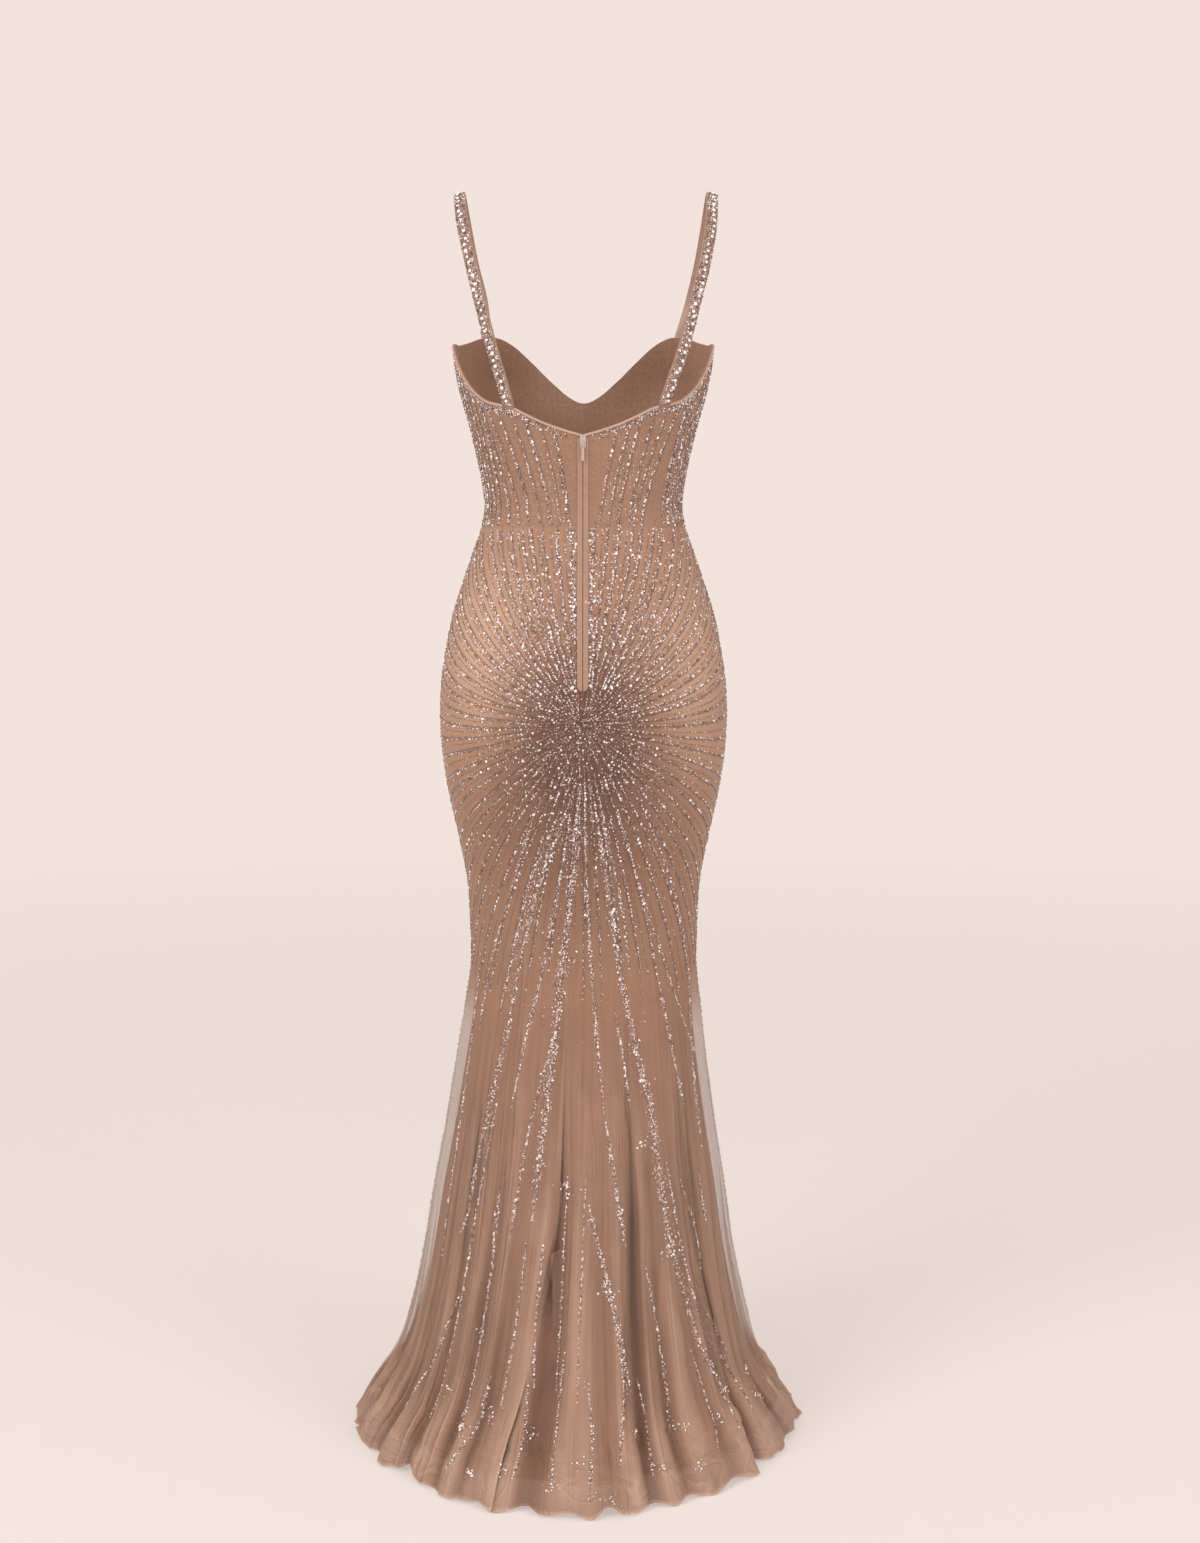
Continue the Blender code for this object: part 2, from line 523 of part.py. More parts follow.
def zip_slider(collection, cutters):
    """The slider's plate with the bridge that carries the pull. Returns the hinge's place."""
    station = station_at(SLIDER_HEIGHT)
    foot = Vector(surface(0.0, station))
    out = Vector(outward(0.0, station))
    tilt = atan2(out.z, out.y) - pi
    up = Vector((0.0, -out.z, out.y)) * (1 if out.y > 0 else -1)
    trims = SEAM_GAP + TRIM_WALL + SEAM_GAP
    plate_place = foot + out * (trims + SLIDER_SIZE[1] / 2)
    plate_front = foot + out * (trims + SLIDER_SIZE[1]) - up * HINGE_BELOW_MIDDLE
    hollow_out, hollow_along = BRIDGE_HOLLOW

    plate = box("zip_slider", SLIDER_SIZE, plate_place, tilt, collection)
    rounding = plate.modifiers.new("rounded_edges", "BEVEL")
    rounding.width = SLIDER_ROUNDING
    rounding.segments = 2

    bridge_size = (BRIDGE_WIDTH, hollow_out + BRIDGE_BAR * 1.5, hollow_along + 2 * BRIDGE_BAR)
    bridge_place = plate_front + out * (bridge_size[1] / 2 - BRIDGE_BAR / 2)
    bridge = box("bridge_block", bridge_size, bridge_place, tilt, cutters)
    soft = bridge.modifiers.new("rounded_edges", "BEVEL")
    soft.width = SLIDER_ROUNDING / 2
    soft.segments = 2
    hollow_size = (SLIDER_SIZE[0], hollow_out, hollow_along)
    hollow = box("bridge_hollow", hollow_size, plate_front + out * hollow_out / 2, tilt, cutters)

    for guide in (bridge, hollow):
        guide.hide_render = True
        guide.display_type = "WIRE"
    for label, kind, tool in (("bridge", "UNION", bridge), ("hollow", "DIFFERENCE", hollow)):
        step = plate.modifiers.new(label, "BOOLEAN")
        step.operation = kind
        step.object = tool
    plate.data.materials.append(own_material("zip_slider", FINISHES["zip_metal"]))
    return plate_front + out * hollow_out / 2


def add_outline(curve, points):
    """One closed flat outline."""
    spline = curve.splines.new("POLY")
    spline.points.add(len(points) - 1)
    for point, (x, y) in zip(spline.points, points):
        point.co = (x, y, 0.0, 1.0)
    spline.use_cyclic_u = True


def zip_pull(hinge, collection):
    """The flat pull tab: an eye round the bridge, and a slender tab with a round end."""
    bar = PULL_WALL / 2
    eye = PULL_EYE_WIDTH / 2
    tab = PULL_WIDTH / 2
    steps = [radians(180.0 * n / (2 * PULL_CORNER_STEPS)) for n in range(2 * PULL_CORNER_STEPS + 1)]
    end = [(-tab * cos(turn), -PULL_LENGTH + tab - tab * sin(turn)) for turn in steps]
    neck = [(eye, bar), (-eye, bar), (-eye, -PULL_EYE_LENGTH + tab)]
    curve = bpy.data.curves.new("zip_pull", "CURVE")
    curve.dimensions = "2D"
    curve.fill_mode = "BOTH"
    curve.extrude = PULL_WALL / 2
    add_outline(curve, neck + [(-tab, -PULL_EYE_LENGTH)] + end
                + [(tab, -PULL_EYE_LENGTH), (eye, -PULL_EYE_LENGTH + tab)])
    hole = PULL_HOLE_WIDTH / 2
    low = -bar - PULL_HOLE_LENGTH
    add_outline(curve, [(hole, -bar), (hole, low), (-hole, low), (-hole, -bar)])
    curve.materials.append(own_material("zip_pull", FINISHES["zip_metal"]))
    item = bpy.data.objects.new("zip_pull", curve)
    item.location = hinge
    item.rotation_euler = (pi / 2, 0.0, 0.0)
    collection.objects.link(item)


def new_collection(name):
    collection = bpy.data.collections.new(name)
    bpy.context.scene.collection.children.link(collection)
    return collection


def main():
    for item in list(bpy.data.objects):
        bpy.data.objects.remove(item, do_unlink=True)
    gown = new_collection(COLLECTION)
    cutters = new_collection("cutters")

    bodice_panel("bodice_back_left", -90.0, 0.0, gown)
    bodice_panel("bodice_back_right", 0.0, 90.0, gown)
    bodice_panel("bodice_front", 90.0, 270.0, gown)
    skirt_panel("skirt_back_left", -90.0, 0.0, gown)
    skirt_panel("skirt_back_right", 0.0, 90.0, gown)
    skirt_panel("skirt_front", 90.0, 270.0, gown)
    lining_panel("skirt_lining_back", -90.0, 90.0, gown)
    lining_panel("skirt_lining_front", 90.0, 270.0, gown)

    centre = float(degrees_for(SEAM_GAP / 2, 0.0, top_station(0.0)))
    front_starts = []
    for ends in STRAP_ENDS:
        strap(ends, gown)
        half_back, half_front = (
            float(degrees_for(STRAP_WIDTH / 2 + SEAM_GAP, angle, top_station(angle)))
            for angle in (ends.back, ends.front)
        )
        neck = (centre, ends.back - half_back)
        arm = (ends.back + half_back, ends.front - half_front)
        front_starts.append(ends.front + half_front)
        for part, stretch in (("neck", neck), ("arm", arm)):
            first, last = sorted(ends.side * angle for angle in stretch)
            binding(f"binding_{part}_{ends.name}", first, last, gown)
    binding("binding_front", front_starts[1], 360.0 - front_starts[0], gown)

    zip_strip("zip_strip_left", -1, gown)
    zip_strip("zip_strip_right", 1, gown)
    hinge = zip_slider(gown, cutters)
    zip_pull(hinge, gown)
    print("hinge at", [round(value, 6) for value in hinge])


main()
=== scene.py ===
from functools import reduce
from math import pi, radians

import bpy
import numpy as np
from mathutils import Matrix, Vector


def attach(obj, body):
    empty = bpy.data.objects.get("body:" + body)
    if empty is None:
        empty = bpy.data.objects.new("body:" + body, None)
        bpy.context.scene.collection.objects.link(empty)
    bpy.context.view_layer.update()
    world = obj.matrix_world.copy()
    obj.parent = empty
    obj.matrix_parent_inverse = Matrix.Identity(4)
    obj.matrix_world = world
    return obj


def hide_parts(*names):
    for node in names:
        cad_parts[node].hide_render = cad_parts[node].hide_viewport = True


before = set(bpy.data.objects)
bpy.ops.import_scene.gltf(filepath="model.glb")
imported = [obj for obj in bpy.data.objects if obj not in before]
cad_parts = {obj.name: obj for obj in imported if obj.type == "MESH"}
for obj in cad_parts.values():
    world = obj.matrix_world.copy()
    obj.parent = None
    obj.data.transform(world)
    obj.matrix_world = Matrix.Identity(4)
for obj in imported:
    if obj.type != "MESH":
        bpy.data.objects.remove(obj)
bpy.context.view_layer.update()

# The gown's form, in metres and degrees. Angles run round the body: 0 at the centre back, 90 at
# the +X side, 180 at the centre front. A station is the length of cloth above a point.
gownForm = {
    "shoulderHeight": 1.457,
    "waistHeight": 1.066,
    "zipEndHeight": 0.878,
    "liningTopHeight": 0.615,
    "liningHemHeight": 0.030,
    "seamGap": 0.0003,
    "closedSeam": 0.00008,  # the gap that is left between two sewn edges
    "skirtWall": 0.0016,
    "trimWall": 0.0010,
    "liningEase": 0.0100,
    "liningFoldShare": 0.75,
    "liningEaseLength": 0.16,
    "cup": (0.027, 146.0, 21.0, 1.232, 0.050),  # depth, angle, spread, height, rise
    "driftStart": 0.32,
    "liftStart": 0.06,
    "spreadStart": 0.055,
    # height, half width, side, back, front, sway, square
    "sections": (
        (1.345, 0.1550, 0, 0.096, 0.106, 0, 0.035),
        (1.300, 0.1545, 0, 0.100, 0.110, 0, 0.035),
        (1.250, 0.1512, 0, 0.101, 0.110, 0, 0.035),
        (1.217, 0.1438, 0, 0.098, 0.106, 0, 0.035),
        (1.182, 0.1340, 0, 0.093, 0.099, 0, 0.035),
        (1.147, 0.1258, 0, 0.088, 0.092, 0, 0.035),
        (1.111, 0.1190, 0, 0.083, 0.087, 0, 0.035),
        (1.093, 0.1172, 0, 0.082, 0.086, 0, 0.035),
        (1.066, 0.1216, 0, 0.085, 0.087, 0, 0.035),
        (1.040, 0.1305, 0, 0.092, 0.090, 0, 0.035),
        (1.004, 0.1430, 0, 0.103, 0.094, 0, 0.035),
        (0.968, 0.1545, 0, 0.113, 0.097, 0, 0.035),
        (0.933, 0.1624, 0, 0.120, 0.099, 0, 0.035),
        (0.897, 0.1684, 0, 0.125, 0.101, 0, 0.035),
        (0.842, 0.1718, 0, 0.127, 0.102, 0, 0.035),
        (0.800, 0.1693, 0, 0.125, 0.101, 0, 0.035),
        (0.752, 0.1622, 0, 0.118, 0.099, 0, 0.035),
        (0.697, 0.1502, 0, 0.109, 0.097, 0, 0.035),
        (0.642, 0.1398, 0, 0.103, 0.096, 0, 0.035),
        (0.587, 0.1368, -0.001, 0.102, 0.097, 0, 0.035),
        (0.551, 0.1360, -0.002, 0.104, 0.099, 0, 0.035),
        (0.496, 0.1422, -0.005, 0.113, 0.104, -0.001, 0.035),
        (0.424, 0.1520, -0.013, 0.133, 0.112, -0.003, 0.035),
        (0.352, 0.1628, -0.022, 0.156, 0.122, -0.004, 0.025),
        (0.281, 0.1748, -0.032, 0.183, 0.134, -0.005, 0.015),
        (0.210, 0.1848, -0.043, 0.214, 0.148, -0.006, 0.005),
        (0.139, 0.1990, -0.053, 0.251, 0.165, -0.006, -0.005),
        (0.086, 0.2145, -0.060, 0.288, 0.182, -0.007, -0.015),
        (0.051, 0.2340, -0.062, 0.320, 0.197, -0.008, -0.025),
        (0.024, 0.2535, -0.062, 0.352, 0.211, -0.008, -0.035),
        (0.0018, 0.2665, -0.060, 0.382, 0.221, -0.008, -0.040),
    ),
    # a crest and a valley to a line: angle, reach, start height, drift, lift, share at the hem
    "folds": (
        (-90, 0.003, 0.34, 0, 0, 0.35), (-79, -0.010, 0.30, 0, 0.003, 0.35),
        (-70.5, 0.007, 0.36, -2, 0, 0.35), (-61, -0.013, 0.38, -3, 0.002, 0.35),
        (-53.5, 0.007, 0.42, -3, 0, 0.35), (-46.5, -0.012, 0.46, -4, 0.005, 0.60),
        (-40, 0.007, 0.44, -4, 0.001, 0.35), (-34, -0.010, 0.46, -4, 0, 0.35),
        (-28, 0.006, 0.42, -5, 0.001, 0.35), (-23.5, -0.003, 0.38, -6, 0.004, 0.35),
        (-13, 0.012, 0.40, -8, 0, 0.35), (-7, -0.025, 0.42, -5, 0.003, 0.50),
        (3, 0.010, 0.42, 0, 0, 0.35), (9, 0.005, 0.36, 0, 0.006, 0.35),
        (16.5, 0.011, 0.46, -2, 0, 0.35), (21, -0.022, 0.46, -1.5, 0.004, 0.35),
        (25, 0.001, 0.40, 0, 0, 0.35), (29, -0.010, 0.38, 0, 0.002, 0.35),
        (36, 0.008, 0.44, 0, 0, 0.35), (41, 0.005, 0.36, 2.5, 0.007, 0.35),
        (45.5, 0.012, 0.48, 6, 0, 0.35), (50.5, -0.024, 0.48, 6, 0.003, 0.75),
        (60, 0.007, 0.42, 3, 0, 0.35), (73, -0.011, 0.36, 0, 0.004, 0.35),
        (90, 0.003, 0.34, 0, 0, 0.35), (99, -0.011, 0.40, 0, 0.002, 0.35),
        (106, 0.008, 0.42, 2, 0, 0.35), (114, -0.014, 0.46, 2, 0.004, 0.35),
        (121.5, 0.009, 0.44, 0, 0, 0.35), (130, -0.007, 0.34, 0, 0.003, 0.35),
        (139, 0.010, 0.44, -2, 0, 0.35), (145, -0.018, 0.48, -2, 0.002, 0.70),
        (153, 0.006, 0.40, 0, 0, 0.35), (160, -0.005, 0.36, 0, 0.005, 0.35),
        (169, 0.010, 0.44, 0, 0, 0.35), (176, -0.013, 0.46, 2, 0.003, 0.35),
        (185, 0.008, 0.42, 2, 0, 0.35), (194, -0.006, 0.36, 0, 0.004, 0.35),
        (203, 0.009, 0.44, 0, 0, 0.35), (210, -0.019, 0.48, 2, 0.002, 0.70),
        (216, 0.010, 0.46, 3, 0, 0.35), (226, -0.008, 0.38, 0, 0.005, 0.35),
        (235, 0.006, 0.40, 0, 0, 0.35), (242, -0.014, 0.46, -2, 0.003, 0.70),
        (249, 0.008, 0.42, -2, 0, 0.35), (256, -0.008, 0.36, 0, 0.002, 0.35),
        (262, 0.006, 0.34, 0, 0, 0.35), (266, -0.003, 0.30, 0, 0.001, 0.35),
        (270, 0.003, 0.34, 0, 0, 0.35),
    ),
    # the bodice's top edge, the same on both sides: angle, height
    "topEdge": (
        (0.0, 1.1723), (9.0, 1.1782), (18.5, 1.1861), (27.0, 1.1955), (34.2, 1.2040),
        (41.0, 1.2080), (50.2, 1.2135), (58.9, 1.2263), (68.0, 1.2471), (77.0, 1.2687),
        (90.0, 1.2820), (106.0, 1.2835), (120.0, 1.2890), (132.0, 1.2965), (140.0, 1.2975),
        (149.0, 1.2880), (158.0, 1.2680), (166.0, 1.2450), (173.0, 1.2270), (180.0, 1.2190),
    ),
}

# Creases that are finer than the folds: angle, drift to the hem, top height, depth (a ridge is
# above 0), width on the lesser and on the greater side of the angle, in degrees
creaseLines = (
    (-84, 1, 0.52, -0.0024, 1.6, 2.4), (-75, -1, 0.60, 0.0018, 1.8, 1),
    (-66, -2, 0.55, -0.0022, 1, 2), (-57.5, -1, 0.66, 0.0020, 2.2, 1),
    (-50, 2, 0.58, 0.0026, 1.8, 0.7), (-43, 2, 0.70, -0.0016, 0.8, 1.6),
    (-36.5, 3, 0.62, 0.0022, 0.8, 1.8), (-30.5, 2, 0.72, -0.0020, 1.2, 0.8),
    (-25, 2.5, 0.60, 0.0018, 0.7, 1.6), (-19, 1, 0.68, -0.0012, 1.4, 1),
    (-15.5, 0, 0.52, 0.0014, 0.6, 1.2), (-9, -1, 0.64, 0.0020, 1.4, 0.6),
    (-4.5, 0.5, 0.58, -0.0016, 0.7, 1.2), (0.6, 0, 0.70, 0.0012, 0.7, 0.9),
    (5.5, 1, 0.56, -0.0012, 1, 1), (11, 2, 0.66, 0.0013, 1, 0.7),
    (18.6, 1, 0.60, 0.0028, 1.8, 0.5), (23.5, 1, 0.52, 0.0014, 0.6, 0.8),
    (27, 3, 0.64, -0.0018, 0.7, 1.4), (32.5, 1, 0.58, 0.0018, 1.2, 0.6),
    (38.5, 2, 0.70, -0.0014, 0.8, 0.8), (43, 3, 0.54, 0.0012, 0.8, 1.2),
    (48, 2, 0.62, 0.0030, 2, 0.5), (54, 2, 0.56, -0.0018, 0.8, 1.6),
    (63, 1, 0.66, 0.0020, 1.6, 0.9), (70, -1, 0.56, -0.0018, 1.2, 1.6),
    (78, 1, 0.60, 0.0018, 1.6, 1), (85, 0, 0.54, -0.0018, 1.4, 1.8),
    (95, 1, 0.58, 0.0022, 1.8, 1), (103, 2, 0.64, -0.0018, 1, 2),
    (111, -1, 0.60, 0.0026, 2, 0.8), (118, 1, 0.70, -0.0016, 1.4, 1),
    (126, 0, 0.56, 0.0020, 1, 2), (135, 2, 0.66, -0.0018, 1.2, 1.2),
    (142, -2, 0.60, 0.0026, 1.8, 0.7), (149, 1, 0.62, -0.0020, 0.9, 1.6),
    (157, 0, 0.70, 0.0016, 1.4, 1), (164, 1, 0.56, -0.0014, 1, 1.4),
    (172, -1, 0.64, 0.0022, 1.6, 0.7), (180, 0, 0.60, -0.0016, 1.2, 1),
    (189, 1, 0.66, 0.0018, 1, 1.6), (198, 0, 0.58, -0.0018, 1.4, 1.2),
    (206, -2, 0.62, 0.0026, 0.8, 1.9), (213, 1, 0.70, -0.0014, 1, 1.2),
    (221, 0, 0.56, 0.0020, 1.6, 1), (230, 1, 0.64, -0.0018, 1, 1.6),
    (239, -1, 0.60, 0.0024, 1.8, 0.8), (246, 1, 0.56, -0.0018, 1.2, 1),
    (253, 0, 0.66, 0.0016, 1, 1.4), (260, 0, 0.58, -0.0016, 1.4, 1),
)
creaseShares = {"deepFrom": 0.0025, "deep": 0.75, "shallow": (0.10, 0.40)}  # how much of each depth is used
fineCreases = {"count": 170, "seed": 11, "depth": 0.00060, "width": (0.35, 1.0), "top": (0.40, 0.74)}
hemCurl = {"count": 96, "seed": 5, "length": 0.026, "lift": 0.0085, "reach": 0.0045}
# slanting tucks and bulges where the cloth gathers on the floor
hemTucks = {"count": 150, "seed": 9, "height": (0.004, 0.070), "depth": (0.0016, 0.0050),
            "width": (0.0035, 0.010), "length": (0.014, 0.034), "slant": 1.0}


def smoothThrough(knots, values, at):
    # a cubic through the values at the knots, each slope taken from its two neighbours
    slopes = np.gradient(values, knots)
    place = np.clip(np.searchsorted(knots, at, side="right") - 1, 0, len(knots) - 2)
    span = knots[place + 1] - knots[place]
    t = (at - knots[place]) / span
    first = values[place] * (2 * t**3 - 3 * t**2 + 1) + slopes[place] * span * (t**3 - 2 * t**2 + t)
    last = values[place + 1] * (3 * t**2 - 2 * t**3) + slopes[place + 1] * span * (t**3 - t**2)
    return first + last


def lengthsAlong(points):
    # the length of the line through the points, up to each of them
    return np.concatenate(([0.0], np.cumsum(np.linalg.norm(np.diff(points, axis=0), axis=1))))


def unit(vectors):
    return vectors / np.linalg.norm(vectors, axis=-1, keepdims=True)


def halfTurn(angle):
    # the same angle, between -180 and 180
    return np.mod(angle + 180.0, 360.0) - 180.0


def ease(share):
    # 3 s^2 - 2 s^3, level at both ends
    share = np.clip(share, 0.0, 1.0)
    return share * share * (3 - 2 * share)


sectionTable = np.array(gownForm["sections"])
foldTable = np.array(gownForm["folds"])
edgeTable = np.array(gownForm["topEdge"])
stations = lengthsAlong(sectionTable[:, [0, 1, 3]])
fineStations = np.linspace(0.0, stations[-1], 4000)
fineHeights = smoothThrough(stations, sectionTable[:, 0], fineStations)


def stationAt(height):
    return np.interp(-np.asarray(height, float), -fineHeights, fineStations)


def topStation(angle):
    turned = 180.0 - np.abs(180.0 - np.abs(angle))
    knots = np.concatenate((edgeTable[:, 0], 360.0 - edgeTable[-4:-1, 0][::-1]))
    heights = np.concatenate((edgeTable[:, 1], edgeTable[-4:-1, 1][::-1]))
    return stationAt(smoothThrough(knots, heights, turned))


def foldsAt(angle, height):
    # round lobes that meet in narrow valleys: a crest's reach times a quarter cosine
    knot, reach, start, drift, lift, hem = foldTable.T
    angle = np.mod(angle - knot[0], 360.0) + knot[0]
    place = np.clip(np.searchsorted(knot, angle, side="right") - 1, 0, len(knot) - 2)
    t = (angle - knot[place]) / (knot[place + 1] - knot[place])
    crestFirst = place % 2 == 0
    fromCrest = np.where(crestFirst, t, 1 - t)
    crest = np.where(crestFirst, place, place + 1)
    valley = np.where(crestFirst, place + 1, place)
    spread = ease(1 - height / gownForm["spreadStart"])

    def reachOf(at):
        grown = ease((start[at] - height) / start[at])
        return reach[at] * grown * (1 - (1 - hem[at]) * spread)

    out = reachOf(valley) + (reachOf(crest) - reachOf(valley)) * np.cos(fromCrest * pi / 2)
    turn = drift[place] * (1 - t) + drift[place + 1] * t
    up = lift[valley] + (lift[crest] - lift[valley]) * ease(1 - fromCrest)
    turn = turn * ease(1 - height / gownForm["driftStart"])
    return out, turn, up * ease(1 - height / gownForm["liftStart"])


def allCreases():
    # the listed lines, then fine ones at even steps that are each shifted at random
    random = np.random.default_rng(fineCreases["seed"])
    count = fineCreases["count"]
    angle = -90.0 + (np.arange(count) + random.uniform(-0.45, 0.45, count)) * 360.0 / count
    depth = fineCreases["depth"] * random.uniform(0.4, 1.3, count) * random.choice((-1, 1), count)
    fine = np.stack((
        angle, random.uniform(-1.5, 2.5, count) * np.sign(angle), random.uniform(*fineCreases["top"], count),
        depth, random.uniform(*fineCreases["width"], count), random.uniform(*fineCreases["width"], count),
    ), axis=1)
    lines = np.array(creaseLines)
    lines[:, 3] *= np.where(np.abs(lines[:, 3]) > creaseShares["deepFrom"], creaseShares["deep"],
                            random.uniform(*creaseShares["shallow"], len(lines)))
    return np.concatenate((lines, fine))


creaseTable = allCreases()


def creasesAt(angle, height):
    # the sum of bell-shaped ridges and valleys, each with its own width on either side
    angle, height = np.broadcast_arrays(np.asarray(angle, float), np.asarray(height, float))
    out = np.zeros(angle.shape)
    for middle, drift, top, depth, lesser, greater in creaseTable:
        away = halfTurn(angle - middle - drift * ease(1 - height / 0.5))
        near = np.abs(away) < 3.2 * max(lesser, greater)
        share = away[near] / np.where(away[near] < 0, lesser, greater)
        grown = ease((top - height[near]) / (0.55 * top))
        out[near] += depth * grown * np.exp(-share * share)
    return out


def hemTable():
    random = np.random.default_rng(hemCurl["seed"])
    count = hemCurl["count"]
    knots = -90.0 + np.sort(np.arange(count) + random.uniform(-0.35, 0.35, count)) * 360.0 / count
    lift = np.where(np.arange(count) % 2 == 0, random.uniform(0.0, 1.0, count) ** 2, 0.0)
    reach = random.uniform(-1.0, 1.0, count)
    knots = np.concatenate((knots[-2:] - 360.0, knots, knots[:2] + 360.0))
    return knots, np.pad(lift, 2, mode="wrap"), np.pad(reach, 2, mode="wrap")


hemKnots, hemLift, hemReach = hemTable()


def tuckTable():
    random = np.random.default_rng(hemTucks["seed"])
    count = hemTucks["count"]
    return np.stack((
        -90.0 + (np.arange(count) + random.uniform(-0.5, 0.5, count)) * 360.0 / count,
        random.uniform(*hemTucks["height"], count),
        random.uniform(*hemTucks["depth"], count) * random.choice((-1, 1), count),
        random.uniform(*hemTucks["width"], count), random.uniform(*hemTucks["length"], count),
        random.uniform(-1, 1, count) * hemTucks["slant"],
    ), axis=1)


tucks = tuckTable()


def tucksAt(angle, height):
    # the sum of slanting bell shapes, read as if the hem's radius were 0.26 m all round
    out = np.zeros(angle.shape)
    low = height < 0.11
    angle, height = angle[low], height[low]
    found = np.zeros(angle.shape)
    for middle, level, depth, width, length, slant in tucks:
        away = np.radians(halfTurn(angle - middle)) * 0.26
        near = np.abs(away) < 0.05
        across, down = away[near], (height[near] - level) * 1.4
        turned = across * np.cos(slant) + down * np.sin(slant)
        along = down * np.cos(slant) - across * np.sin(slant)
        found[near] += depth * np.exp(-((turned / width) ** 2) - (along / length) ** 2)
    out[low] = found
    return out


def clothPoint(angle, station, foldShare=1.0, creaseShare=1.0):
    # x = sway + (half width + folds) sin(angle), y = side - (depth + folds) cos(angle)
    angle, station = np.broadcast_arrays(np.asarray(angle, float), np.asarray(station, float))
    height, halfWidth, side, back, front, sway, square = (
        smoothThrough(stations, column, station) for column in sectionTable.T
    )
    fold, drift, lift = foldsAt(angle, height)
    cupDepth, cupAngle, cupSpread, cupHeight, cupRise = gownForm["cup"]
    fromCup = np.abs(np.abs(180.0 - np.abs(angle)) - (180.0 - cupAngle))
    rise = np.exp(-(((height - cupHeight) / cupRise) ** 2))
    cup = np.where(np.abs(angle) > 90.0, cupDepth * np.exp(-((fromCup / cupSpread) ** 2)) * rise, 0.0)
    turn = np.radians(angle + drift)
    stretch = 1 + square * np.sin(2 * turn) ** 2
    depth = np.where(np.cos(turn) > 0, back + side, front - side)
    out = fold * foldShare + cup
    if creaseShare:
        out = out + (creasesAt(angle, height) + tucksAt(angle, height)) * creaseShare
        curl = np.clip((station - stations[-1]) / hemCurl["length"] + 1, 0.0, 1.0) ** 2
        turned = np.mod(angle + 90.0, 360.0) - 90.0
        lift = lift + curl * creaseShare * hemCurl["lift"] * np.clip(
            smoothThrough(hemKnots, hemLift, turned), 0.0, None)
        out = out + curl * creaseShare * hemCurl["reach"] * smoothThrough(hemKnots, hemReach, turned)
    x = sway + (halfWidth * stretch + out) * np.sin(turn)
    y = side - (depth * stretch + out) * np.cos(turn)
    z = height + lift * foldShare - gownForm["shoulderHeight"]
    return np.stack(np.broadcast_arrays(x, y, z), axis=-1)


def clothNormal(angle, station, foldShare=1.0, creaseShare=1.0, step=0.2):
    # across the two directions of the cloth, from points a small step to either side
    along = clothPoint(angle + step, station, foldShare, creaseShare)
    along = along - clothPoint(angle - step, station, foldShare, creaseShare)
    down = clothPoint(angle, station + 0.0005, foldShare, creaseShare)
    down = down - clothPoint(angle, station - 0.0005, foldShare, creaseShare)
    return unit(np.cross(down, along))


def degreesFor(length, angle, station):
    along = clothPoint(angle + 0.3, station, 1.0, 0.0) - clothPoint(angle - 0.3, station, 1.0, 0.0)
    return length * 0.6 / np.linalg.norm(along, axis=-1)


# Round each section of the undraped form: the arc length from the centre back, and x
tableStations = np.linspace(0.02, stations[-1], 140)
tableAngles = np.arange(-110.0, 110.5, 1.0)


def sectionTables(shift):
    ring = clothPoint(tableAngles[None, :] + shift, tableStations[:, None], 0.0, 0.0)
    steps = np.linalg.norm(np.diff(ring, axis=1), axis=-1)
    arc = np.concatenate((np.zeros((len(ring), 1)), np.cumsum(steps, axis=1)), axis=1)
    arc -= arc[:, [110]]
    return arc, np.maximum.accumulate(ring[..., 0] * (1 if shift == 0 else -1), axis=1)


arcBack, acrossBack = sectionTables(0.0)
arcFront, acrossFront = sectionTables(180.0)


def tableRow(station):
    # the row above a station, and the share of the next one
    row = np.interp(station, tableStations, np.arange(len(tableStations)))
    low = np.clip(row.astype(int), 0, len(tableStations) - 2)
    return low, row - low


def angleFrom(table, value, station):
    # the two nearest rows are mixed, and the angle is read where the mix reaches the value
    low, share = tableRow(station)
    mixed = table[low] * (1 - share)[:, None] + table[low + 1] * share[:, None]
    place = np.clip(np.sum(mixed < value[:, None], axis=1) - 1, 0, mixed.shape[1] - 2)
    index = np.arange(len(value))
    first, last = mixed[index, place], mixed[index, place + 1]
    t = np.clip((value - first) / np.maximum(last - first, 1e-9), 0.0, 1.0)
    return tableAngles[place] + t


def spotAt(table, x, station):
    # the angle of one point, from its x or arc in millimetres
    return float(angleFrom(table, np.array([x * 0.001]), np.array([station]))[0])


def meshFrom(name, points, *groups):
    # the points, and groups of faces that each have one number of corners
    mesh = bpy.data.meshes.new(name)
    corners = np.concatenate([group.ravel() for group in groups]).astype(np.int32)
    sizes = np.concatenate([np.full(len(group), group.shape[1]) for group in groups])
    mesh.vertices.add(len(points))
    mesh.vertices.foreach_set("co", np.asarray(points, np.float32).ravel())
    mesh.loops.add(len(corners))
    mesh.loops.foreach_set("vertex_index", corners)
    mesh.polygons.add(len(sizes))
    mesh.polygons.foreach_set("loop_start", (np.cumsum(sizes) - sizes).astype(np.int32))
    mesh.update(calc_edges=True)
    mesh.validate()
    return mesh


def addPiece(name, mesh, material, body="gown"):
    piece = bpy.data.objects.new(name, mesh)
    bpy.context.scene.collection.objects.link(piece)
    mesh.materials.append(material)
    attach(piece, body)
    return piece


